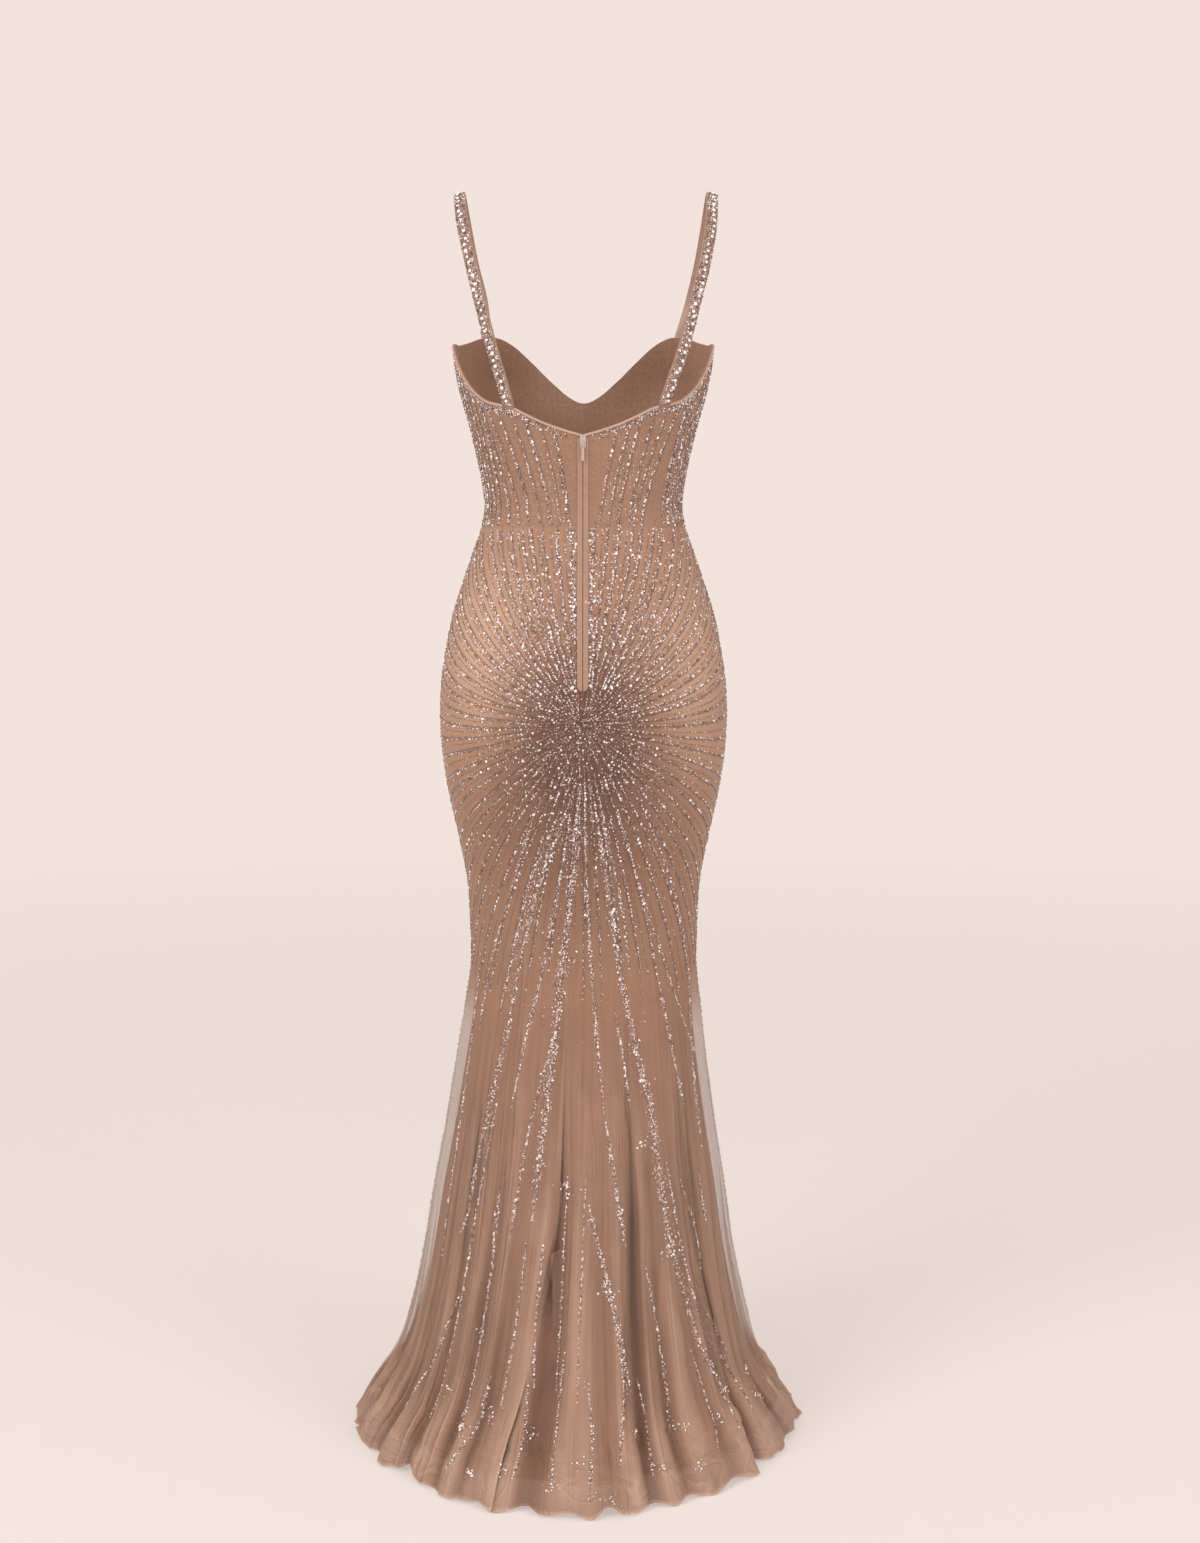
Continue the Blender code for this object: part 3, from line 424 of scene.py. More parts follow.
def addAttribute(mesh, name, values):
    attribute = mesh.attributes.new(name, "FLOAT", "POINT")
    attribute.data.foreach_set("value", np.asarray(values, np.float32).ravel())


def addUv(mesh, uv):
    layer = mesh.uv_layers.new(name="clothUv")
    corners = np.zeros(len(mesh.loops), np.int32)
    mesh.loops.foreach_get("vertex_index", corners)
    layer.data.foreach_set("uv", np.asarray(uv, np.float32).reshape(-1, 2)[corners].ravel())


def quadsOf(grid, flip=False):
    # rows run down and columns towards larger angles, so these face out
    corners = (grid[:-1, :-1], grid[1:, :-1], grid[1:, 1:], grid[:-1, 1:])
    if flip:
        corners = corners[::-1]
    return np.stack([corner.ravel() for corner in corners], axis=1)


def shellMesh(name, outer, normal, thickness):
    # a closed wall: the inner face has every second row and column, and triangles close the rims
    rows, columns = outer.shape[:2]
    inner = (outer - normal * thickness)[::2, ::2]
    front = np.arange(rows * columns).reshape(rows, columns)
    back = front.size + np.arange(inner[..., 0].size).reshape(inner.shape[:2])

    def rim(p, q):
        return np.concatenate((
            np.stack((p[:-1:2], p[1::2], q[:-1]), axis=1),
            np.stack((p[1::2], p[2::2], q[1:]), axis=1),
            np.stack((p[1::2], q[1:], q[:-1]), axis=1),
        ))

    rims = np.concatenate((
        rim(front[0], back[0]), rim(front[-1, ::-1], back[-1, ::-1]),
        rim(front[::-1, 0], back[::-1, 0]), rim(front[:, -1], back[:, -1]),
    ))
    points = np.concatenate((outer.reshape(-1, 3), inner.reshape(-1, 3)))
    mesh = meshFrom(name, points, quadsOf(front), quadsOf(back, True), rims)
    mesh.shade_smooth()
    # the rims are sharp, so that no dark line shows where two pieces meet
    sides = []
    for grid in (front, back):
        border = np.zeros(len(points), bool)
        for line in (grid[0], grid[-1], grid[:, 0], grid[:, -1]):
            border[line] = True
        sides.append(border)
    ends = np.zeros(2 * len(mesh.edges), np.int32)
    mesh.edges.foreach_get("vertices", ends)
    ends = ends.reshape(-1, 2)
    sharp = np.logical_or.reduce([border[ends].all(axis=1) for border in sides])
    mesh.attributes.new("sharp_edge", "BOOLEAN", "EDGE").data.foreach_set("value", sharp)
    return mesh


def shellValues(values, inner=1.0):
    # values on the outer grid, then a share of them on the inner one
    return np.concatenate((values.reshape(-1, *values.shape[2:]),
                           values[::2, ::2].reshape(-1, *values.shape[2:]) * inner))


# The sunburst of bead rows: rays leave a focus on the seat and the same on the front. Lengths
# are on the cloth. A ray's angle is from straight down, towards +X above 0.
sunburst = {
    "focusHeight": 0.841,
    "pitch": 5.0,
    "jitter": 0.7,
    "seed": 3,
    # angle from straight down, how far a ray turns upward by the time it is 200 mm long
    "bend": ((0.0, 0.0), (25.0, -2.0), (50.0, -3.0), (72.0, 1.0), (90.0, 6.0), (115.0, 9.0),
             (145.0, 8.0), (165.0, 3.0), (180.0, 0.0)),
    "bendPower": 1.6,
    "start": 0.007,  # how far from the focus the first rays begin
    "second": 0.052,  # where every second ray begins, in the gaps between the first ones
    "uneven": (8, 0.004, 0.018),  # seed, and how much the first and the second ones vary
    # angle from straight down, where the finer rows between the rays begin
    "between": ((58.0, 72.0, 108.0, 118.0), (0.075, 0.095, 0.095, 0.085)),
    # angle from straight down, length
    "length": ((0.0, 0.25), (12.0, 0.29), (25.0, 0.35), (50.0, 0.35), (70.0, 0.30), (180.0, 0.30)),
}
bendTable = np.array(sunburst["bend"])
lengthTable = np.array(sunburst["length"])
focusStation = float(stationAt(sunburst["focusHeight"]))
waistStation = float(stationAt(gownForm["waistHeight"]))
zipEndStation = float(stationAt(gownForm["zipEndHeight"]))


def bendOf(angle):
    return np.sign(angle) * smoothThrough(bendTable[:, 0], bendTable[:, 1], np.abs(angle))


def rayAngles():
    random = np.random.default_rng(sunburst["seed"])
    count = int(360 / sunburst["pitch"])
    angles = -180.0 + np.arange(1, count) * sunburst["pitch"]
    return angles + random.uniform(-1, 1, count - 1) * sunburst["jitter"]


rays = rayAngles()


def rayPhase(arc, down):
    # the smooth number of the ray through a point: its start angle is found in a few rounds
    reach = np.hypot(arc, down)
    around = np.degrees(np.arctan2(arc, down))
    turned = (reach / 0.2) ** sunburst["bendPower"]
    start = around
    for _ in range(6):
        start = np.clip(around - bendOf(start) * turned, -180.0, 180.0)
    return np.interp(start, (-180.0, *rays, 180.0), np.arange(-1, len(rays) + 1)), reach


def rayPath(start, reach, table, shift):
    # angle and station of points along a ray
    around = np.radians(start + bendOf(np.full(len(reach), start)) * (reach / 0.2) ** sunburst["bendPower"])
    station = focusStation + reach * np.cos(around)
    arc = reach * np.sin(around)
    return angleFrom(table, arc, station) + shift, station, arc


halfSeam = gownForm["closedSeam"] / 2


def panelColumns(first, last, count, rows):
    # even steps between two seams, each edge short of its seam by half of the gap
    angles = np.tile(np.linspace(first, last, count), (len(rows), 1))
    angles[:, 0] += degreesFor(halfSeam, first, rows)
    angles[:, -1] -= degreesFor(halfSeam, last, rows)
    return angles


def arcAt(angle, station):
    # the arc length from the centre back or front, on the side where the point lies
    turned = np.mod(angle + 90.0, 360.0) - 90.0
    inBack = turned <= 90.0
    low, share = tableRow(station)
    column = np.where(inBack, turned, turned - 180.0) + 110.0
    left = np.clip(column.astype(int), 0, len(tableAngles) - 2)
    across = column - left

    def read(table):
        upper = table[low, left] * (1 - across) + table[low, left + 1] * across
        lower = table[low + 1, left] * (1 - across) + table[low + 1, left + 1] * across
        return upper * (1 - share) + lower * share

    return np.where(inBack, read(arcBack), read(arcFront))


# Bead lines of the bodice: x at the top edge and at the waist, in millimetres, and beads across
bodiceLines = {
    "back": (
        (-132, -87, 2), (-117, -75, 1), (-102, -62, 2), (-86, -50, 1), (-69, -37, 2), (-50, -26, 1),
        (-34, -16, 2), (40, 18, 1), (55, 29, 1), (69, 40, 2), (86, 54, 1), (101, 59, 1),
        (116, 68, 2), (134, 94, 2),
    ),
    "side": (56.0, 61.0, 66.0, 71.0, 76.0, 81.0, 86.0),  # angles of the close lines beside the seam
    "front": (94.0, 100.0, 106.0, 113.0, 120.0, 127.0, 134.0, 141.0, 148.0, 155.0, 162.0, 169.0, 176.0),
}


def bodiceRows():
    # straight lines on the cloth between the top edge and the waist
    rows = []
    for xTop, xWaist, files in bodiceLines["back"]:
        first = spotAt(acrossBack, xTop, float(stationAt(1.185)))
        first = spotAt(acrossBack, xTop, float(topStation(first)))
        last = spotAt(acrossBack, xWaist, waistStation)
        rows.append((first, last, files))
    for angle in bodiceLines["side"]:
        rows += [(side * angle, side * (angle * 1.06 - 6.0), 2) for side in (-1, 1)]
    for angle in bodiceLines["front"]:
        rows += [(turned, turned, 2) for turned in (angle, 360.0 - angle)]
    found = []
    for first, last, files in rows:
        top = float(topStation(first)) + 0.006
        count = int((waistStation - top) / 0.002)
        share = np.linspace(0.0, 1.0, count)
        found.append((first + (last - first) * share, top + (waistStation - 0.0005 - top) * share, files))
    return found


bodiceRowPaths = bodiceRows()
bodiceGlitter = [(angles, rowStations, np.full(len(angles), 0.0008 + 0.0007 * files))
                 for angles, rowStations, files in bodiceRowPaths]

# Bead streaks of the lower skirt: width in millimetres, brightness, then x and height in
# millimetres of the points that each runs through
streaks = (
    (8, 0.36, ((-8, 770), (-32, 705), (-55, 640), (-70, 575), (-93, 460), (-115, 370), (-143, 244))),
    (10, 0.48, ((-3, 770), (-12, 657), (-22, 575), (-38, 430), (-50, 340), (-58, 270))),
    (5, 0.30, ((-16, 720), (-36, 610), (-50, 540), (-67, 470), (-84, 390))),
    (7, 0.40, ((-97, 300), (-109, 185), (-134, 50))),
    (4, 0.28, ((-64, 250), (-74, 160), (-87, 85))),
    (5, 0.34, ((2, 770), (5, 640), (12, 520), (25, 386))),
    (9, 0.45, ((12, 760), (30, 640), (48, 520), (75, 410), (95, 270), (122, 160), (167, 47))),
    (4, 0.34, ((38, 500), (56, 391))),
    (6, 0.38, ((26, 380), (48, 243))),
    (4, 0.28, ((40, 740), (75, 620), (111, 508), (134, 440))),
    (5, 0.30, ((88, 540), (118, 384))),
    (4, 0.26, ((137, 310), (146, 250))),
    (6, 0.40, ((7, 290), (24, 222), (44, 142), (52, 100))),
    (5, 0.28, ((-55, 740), (-85, 640), (-108, 560), (-124, 470))),
    (5, 0.30, ((-26, 740), (-62, 650), (-82, 570), (-100, 490))),
    (5, 0.34, ((20, 750), (34, 680), (46, 620), (55, 545))),
    (5, 0.28, ((70, 740), (104, 650), (122, 560), (130, 430), (140, 330))),
    (4, 0.22, ((-118, 600), (-126, 520), (-140, 400), (-170, 210))),
    (4, 0.22, ((-18, 320), (-24, 200), (-30, 100))),
    (3, 0.22, ((4, 330), (-2, 200), (-6, 90))),
    (4, 0.24, ((112, 310), (140, 200), (172, 100))),
    (4, 0.24, ((-36, 470), (-60, 380), (-84, 250))),
    (5, 0.34, ((30, 200), (44, 110), (40, 40))),
    (5, 0.34, ((70, 230), (92, 130), (104, 50))),
    (5, 0.30, ((-104, 110), (-120, 60), (-150, 22))),
    (4, 0.26, ((-20, 140), (-30, 60), (-34, 20))),
    (4, 0.34, ((-60, 110), (-66, 60), (-78, 22))),
    (5, 0.34, ((-128, 230), (-150, 130), (-184, 48))),
    (4, 0.30, ((-148, 180), (-176, 96), (-206, 50))),
    (4, 0.32, ((6, 120), (10, 60), (8, 18))),
    (4, 0.32, ((66, 110), (76, 60), (82, 20))),
    (4, 0.30, ((120, 130), (140, 70), (150, 30))),
    (4, 0.28, ((150, 150), (178, 80), (196, 44))),
    (4, 0.28, ((96, 330), (112, 240), (130, 160))),
    (4, 0.30, ((-44, 250), (-52, 170), (-56, 100))),
    (4, 0.26, ((-100, 400), (-118, 300), (-136, 190))),
)


def streakPath(points, table, shift, mirror=1):
    # a smooth curve through the points, read every 2 mm
    points = np.array(points, float) * 0.001
    knots = lengthsAlong(points)
    at = np.arange(0.0, knots[-1], 0.002)
    x, height = (smoothThrough(knots, column, at) for column in points.T)
    station = stationAt(height)
    return angleFrom(table, x * mirror, station) + shift, station


def streakLines(table, shift, mirror, seed):
    # each streak's angles, stations and half width, which swells and shrinks and tapers at both ends
    random = np.random.default_rng(seed)
    found = []
    for width, _, points in streaks:
        angles, rowStations = streakPath(points, table, shift, mirror)
        share = np.linspace(0.0, 1.0, len(angles))
        swell = np.interp(share, np.linspace(0.0, 1.0, 12), random.uniform(0.55, 1.3, 12))
        ends = np.clip(np.minimum(share, 1 - share) / 0.12, 0.25, 1.0)
        found.append((angles, rowStations, width * 0.0005 * swell * ends))
    return found


backStreaks = streakLines(acrossBack, 0.0, 1, 71)
frontStreaks = streakLines(acrossFront, 180.0, -1, 72)


def nearestLine(lines, angles, rowStations):
    # signed distance on the cloth to the nearest of the lines, and that line's half width there
    away, half = np.full(angles.shape, 1.0), np.zeros(angles.shape)
    metre = degreesFor(1.0, angles, rowStations)
    for lineAngles, lineStations, widths in lines:
        at = np.interp(rowStations, lineStations, lineAngles)
        wide = np.interp(rowStations, lineStations, widths, left=0.0, right=0.0)
        found = halfTurn(angles - at) / metre
        nearer = (wide > 0) & (np.abs(found) - wide < np.abs(away) - half)
        away, half = np.where(nearer, found, away), np.where(nearer, wide, half)
    return away, half


clothLook = {
    "dark": (0.150, 0.072, 0.043),
    "middle": (0.345, 0.196, 0.128),
    "light": (0.570, 0.372, 0.260),
    "sheerAlpha": 0.19,
    # the lines along the rays are painted shade
    "rayPaintedShade": (0.24, 0.42),  # darkness of the lines along the rays, and what is added near the focus
    "glitter": (500.0, 0.80, 0.50),  # dots to a metre, share of dots on streaks and on rays
    "glitterColours": ((0.0, (0.11, 0.058, 0.040)), (0.46, (0.54, 0.39, 0.33)), (0.80, (0.96, 0.90, 0.93))),
    # painted shade in the hollows of the folds and creases, where the tulle also lies thicker, and painted
    # light on their ridges
    "hollowPaintedShade": 0.36,
    # the folds' lines are painted light and shade
    "foldPaintedLightAndShade": 2.2,  # strength of the thin lines along the folds
    # across a fold's line: a painted light edge, the dark line where the cloth lies doubled, with painted
    # shade, and its painted shadow; 0.5 changes nothing
    "foldProfile": ((0.0, 0.5), (0.17, 0.5), (0.25, 0.78), (0.285, 0.40), (0.31, 0.0), (0.36, 0.20),
                    (0.55, 0.38), (1.0, 0.5)),
    # what each part of the pattern adds to the brightness, and to the relief in metres
    "shares": {"crinkle": 0.20, "cloud": 0.20, "net": 0.05},
    "relief": {"crinkle": 0.0006, "net": 0.00012, "line": -0.0007, "edges": 0.0030, "fold": 0.0030},
    # patches of the hips: strength (dark is below 0), middle across, width, middle below the
    # focus, height, in metres; the light ones on the upper hips are painted highlight
    "hipPatchesAndHighlights": (
        (-1.10, 0.0, 0.085, 0.0, 0.085), (-0.78, 0.0, 0.12, 0.13, 0.13),
        (0.95, -0.125, 0.065, -0.085, 0.11), (0.70, 0.135, 0.060, -0.060, 0.12),
    ),
}


def hollowAt(angles, height):
    # how far a point lies below the mean of its neighbours to either side, up to 1
    found = 0.0
    for step, depth, share in ((4.0, 0.0065, 0.8), (1.2, 0.0016, 0.2)):
        out = [foldsAt(angles + turn, height)[0] + creasesAt(angles + turn, height)
               for turn in (-step, 0, step)]
        found = found + share * np.clip(((out[0] + out[2]) / 2 - out[1]) / depth, -0.6, 1.0)
    return found


def foldLineTable():
    # angle, drift and the height where it starts, top height, strength, and the side of the shadow
    rows = []
    for angle, reach, start, drift, _, _ in foldTable[1::2]:
        strength = np.clip(-reach / 0.021, 0.15, 1.0) ** 1.2
        side = 1 if -15 < angle < 150 else -1
        rows.append((angle, drift, gownForm["driftStart"], start + 0.09, strength, side))
    for angle, drift, top, depth, lesser, greater in creaseLines:
        strength = 0.42 * min(1.0, abs(depth) / 0.0026) ** 1.5
        rows.append((angle, drift, 0.5, top, strength, 1 if greater > lesser else -1))
    return np.array(rows)


foldLines = foldLineTable()


def nearestFoldLine(angles, height, rowStations):
    # distance on the cloth to the nearest line, above 0 on its shadow side, and its strength
    away, second = np.full(angles.shape, 1e3), np.full(angles.shape, 1e3)
    deep, side = np.zeros(angles.shape), np.ones(angles.shape)
    for angle, drift, driftFrom, top, strength, turned in foldLines:
        found = halfTurn(angles - angle - drift * ease(1 - height / driftFrom))
        nearer = np.abs(found) < np.abs(away)
        second = np.where(nearer, np.abs(away), np.minimum(second, np.abs(found)))
        away = np.where(nearer, found, away)
        side = np.where(nearer, turned, side)
        grown = strength * ease((top - height) / (0.5 * top)) * (0.45 + 0.55 * ease(height / 0.06))
        deep = np.where(nearer, grown, deep)
    metre = degreesFor(1.0, angles, rowStations)
    # the shadow fades out where the next line is as near
    return side * away / metre, deep * ease((second - np.abs(away)) / metre / 0.007)


def liftFor(alpha):
    # a thin wall over another one shades it: what is seen of the light is
    # a + a (1 - a)^2 + (1 - a)^4, and the colour is raised by the inverse
    return 1.0 / (alpha + alpha * (1 - alpha) ** 2 + (1 - alpha) ** 4)


def describeCloth(mesh, angles, rowStations, sheerOn, lines):
    # what the cloth's material reads: the map in metres, the place on the sunburst, folds and shades
    height = smoothThrough(stations, sectionTable[:, 0], rowStations)
    arc = arcAt(angles, rowStations)
    below = rowStations - focusStation
    phase, reach = rayPhase(arc, below)
    # the material works out the plain angle round the focus, and adds this to it
    turn = (phase + 1) * sunburst["pitch"] - 180.0 - np.degrees(np.arctan2(arc, below))
    shown = ease((0.40 - reach) / 0.16) * ease((rowStations - waistStation + 0.012) / 0.01)
    # painted shade in the hollows, painted light on the ridges
    shade = 0.5 - hollowAt(angles, height) * clothLook["hollowPaintedShade"]
    # painted highlight on the upper hips, and darker patches at and below the focus
    for strength, across, wide, down, tall in clothLook["hipPatchesAndHighlights"]:
        # a bell curve across times a bell curve down
        bell = np.exp(-(((arc - across) / wide) ** 2) - (((below - down) / tall) ** 2))
        shade = shade + 0.5 * strength * bell
    away, deep = nearestFoldLine(angles, height, rowStations)
    sheer = ease((0.60 - height) / 0.14) * (0.30 + 0.70 * ease((height - 0.02) / 0.08))
    layered = sheerOn or mesh.name.startswith("cloth_lining")
    lift = liftFor(1 - sheer * (1 - clothLook["sheerAlpha"])) if layered else 1.0
    # the lower skirt is deeper in colour, least so near the floor
    lift = lift * (1 - 0.17 * ease((0.70 - height) / 0.24) * (1 - 0.30 * ease((0.14 - height) / 0.12)))
    lineAway, lineHalf = nearestLine(lines, angles, rowStations)
    if sheerOn:
        # the hem's rolled edge catches the light
        shade = shade + 0.35 * ease((rowStations - stations[-1]) / 0.005 + 1)
    values = {
        "sunAcross": arc, "sunDown": below, "sunTurn": turn, "rayShare": shown, "clothShade": shade,
        "foldAway": away, "foldDeep": deep, "puddle": ease(1 - height / 0.09),
        "foldShare": ease((0.62 - height) / 0.30), "lift": lift, "sheer": sheer if sheerOn else 0.0,
        "lineAway": lineAway, "lineHalf": lineHalf, "lineNear": np.abs(lineAway) < lineHalf + 0.004,
    }
    addUv(mesh, shellValues(np.stack((np.radians(angles) * 0.19, rowStations), axis=-1)))
    for label, value in values.items():
        # no beading on the inside
        inner = 0.0 if label in ("lineNear", "rayShare") else 1.0
        addAttribute(mesh, label, shellValues(np.broadcast_to(value, angles.shape), inner))


# Materials
socketNames = {"specular": "Specular IOR Level", "sheen": "Sheen Weight", "sheenRoughness": "Sheen Roughness",
               "coat": "Coat Weight", "coatRoughness": "Coat Roughness"}


class MaterialNodes:
    # a new material and its nodes; a method gives back the output of the node that it adds
    def __init__(self, name, **sockets):
        self.material = bpy.data.materials.new(name)
        self.material.use_nodes = True
        self.shader = self.material.node_tree.nodes["Principled BSDF"]
        for label, value in sockets.items():
            self.give(self.shader, {socketNames.get(label, label.capitalize()): value})

    def give(self, node, inputs):
        # other nodes' outputs are linked, and numbers and colours are set
        for place, value in inputs.items():
            if isinstance(value, bpy.types.NodeSocket):
                self.material.node_tree.links.new(value, node.inputs[place])
            else:
                node.inputs[place].default_value = value

    def add(self, kind, inputs=(), **settings):
        node = self.material.node_tree.nodes.new(kind)
        for key, value in settings.items():
            setattr(node, key, value)
        self.give(node, dict(inputs))
        return node

    def calc(self, operation, *values, clamp=False):
        inputs = dict(enumerate(values))
        return self.add("ShaderNodeMath", inputs, operation=operation, use_clamp=clamp).outputs[0]

    def plus(self, *values):
        return reduce(lambda first, second: self.calc("ADD", first, second), values)

    def minus(self, first, second, clamp=False):
        return self.calc("SUBTRACT", first, second, clamp=clamp)

    def times(self, first, second, clamp=False):
        return self.calc("MULTIPLY", first, second, clamp=clamp)

    def over(self, first, second, clamp=False):
        return self.calc("DIVIDE", first, second, clamp=clamp)

    def fromWhole(self, value):
        # distance to the nearest whole number
        return self.calc("ABSOLUTE", self.minus(self.calc("FRACT", self.plus(value, 0.5)), 0.5))

    def read(self, name):
        return self.add("ShaderNodeAttribute", attribute_name=name).outputs["Fac"]

    def objectPlace(self):
        return self.add("ShaderNodeTexCoord").outputs["Object"]

    def stretch(self, place, scale):
        return self.add("ShaderNodeMapping", {0: place, 3: scale}).outputs[0]

    def noise(self, place, scale, **more):
        inputs = {label.capitalize(): value for label, value in more.items()}
        return self.add("ShaderNodeTexNoise", {"Vector": place, "Scale": scale, **inputs}).outputs[0]

    def mix(self, factor, first, last, blend="MIX"):
        inputs = {0: factor, 6: first, 7: last}
        return self.add("ShaderNodeMix", inputs, data_type="RGBA", blend_type=blend).outputs[2]

    def grey(self, *parts):
        # one grey for all three parts of the colour, or three that differ a little
        inputs = dict(enumerate(parts if len(parts) == 3 else parts * 3))
        return self.add("ShaderNodeCombineColor", inputs).outputs[0]

    def ramp(self, factor, stops, interpolation="LINEAR"):
        # a new ramp has two stops of its own, which become the first and the last
        node = self.add("ShaderNodeValToRGB", {0: factor})
        node.color_ramp.interpolation = interpolation
        own = node.color_ramp.elements
        for index, (place, colour) in ((0, stops[0]), (1, stops[-1])):
            own[index].position = place
            own[index].color = (*colour, 1.0)
        for place, colour in stops[1:-1]:
            own.new(place).color = (*colour, 1.0)
        return node.outputs[0]

    def relief(self, height, strength):
        bump = self.add("ShaderNodeBump", {"Height": height, "Strength": strength, "Distance": 1.0})
        self.give(self.shader, {"Normal": bump.outputs[0]})


def layerEdges(nodes, uv, puddle):
    # where a slow lengthwise noise passes its middle value, one layer's edge lies over the next:
    # painted light on one side of the line and painted shade on the other; near the floor the lines turn and
    # swirl
    layers = []
    for scale, warp in (((34.0, 2.6, 1.0), 0.4), ((30.0, 22.0, 1.0), 1.2)):
        noise = nodes.noise(nodes.stretch(uv, scale), 1.0, detail=1.0, distortion=warp)
        offset = nodes.times(nodes.minus(noise, 0.5), 30.0)
        # the slope of a bell curve: x * exp(-x^2)
        bell = nodes.calc("EXPONENT", nodes.times(nodes.times(offset, offset), -1.0))
        layers.append(nodes.times(offset, bell))
    return nodes.plus(nodes.times(layers[0], nodes.minus(1.0, puddle)), nodes.times(layers[1], puddle))


def nearestRay(nodes):
    # the number of the ray here, from the angle round the focus, the distance from the focus and
    # that from the nearest line; even rays start at the focus, and the odd ones further out
    across, down = nodes.read("sunAcross"), nodes.read("sunDown")
    reach = nodes.calc("SQRT", nodes.plus(nodes.times(across, across), nodes.times(down, down)))
    around = nodes.plus(nodes.times(nodes.calc("ARCTAN2", across, down), 180 / pi), nodes.read("sunTurn"))
    number = nodes.plus(nodes.over(around, sunburst["pitch"]), 180 / sunburst["pitch"] - 1)
    spacing = nodes.times(reach, radians(sunburst["pitch"]))
    grown = nodes.over(nodes.minus(reach, sunburst["second"]), 0.012, clamp=True)
    single, double = nodes.fromWhole(number), nodes.times(nodes.fromWhole(nodes.times(number, 0.5)), 2.0)
    away = nodes.plus(double, nodes.times(grown, nodes.minus(single, double)))
    return number, reach, spacing, nodes.times(away, spacing)


def glitterDots(nodes, uv, away, rayShare):
    # small round dots, thick along the rays and the streaks, each of them dark, rose or light
    perMetre, onStreaks, onRays = clothLook["glitter"]
    dots = nodes.add("ShaderNodeTexVoronoi", {"Vector": uv, "Scale": perMetre, "Randomness": 0.9},
                     voronoi_dimensions="2D")
    kind = nodes.add("ShaderNodeSeparateColor", {0: dots.outputs["Color"]})
    wide = nodes.plus(nodes.read("lineHalf"), 0.00001)
    onLine = nodes.minus(1.0, nodes.over(nodes.calc("ABSOLUTE", nodes.read("lineAway")), wide), clamp=True)
    # only beside a line: half way between two of them the signed distance has a false zero
    onLine = nodes.times(onLine, nodes.calc("GREATER_THAN", nodes.read("lineNear"), 0.5))
    onLine = nodes.times(nodes.calc("SQRT", onLine), onStreaks)
    onRay = nodes.minus(1.0, nodes.over(away, 0.0025), clamp=True)
    onRay = nodes.times(nodes.times(onRay, onRays), rayShare)
    chance = nodes.calc("MAXIMUM", onLine, onRay)
    disc = nodes.times(nodes.minus(0.50, dots.outputs["Distance"]), 5.0, clamp=True)
    dot = nodes.times(nodes.calc("LESS_THAN", kind.outputs[0], chance), disc)
    return dot, nodes.ramp(kind.outputs[1], clothLook["glitterColours"], "CONSTANT")


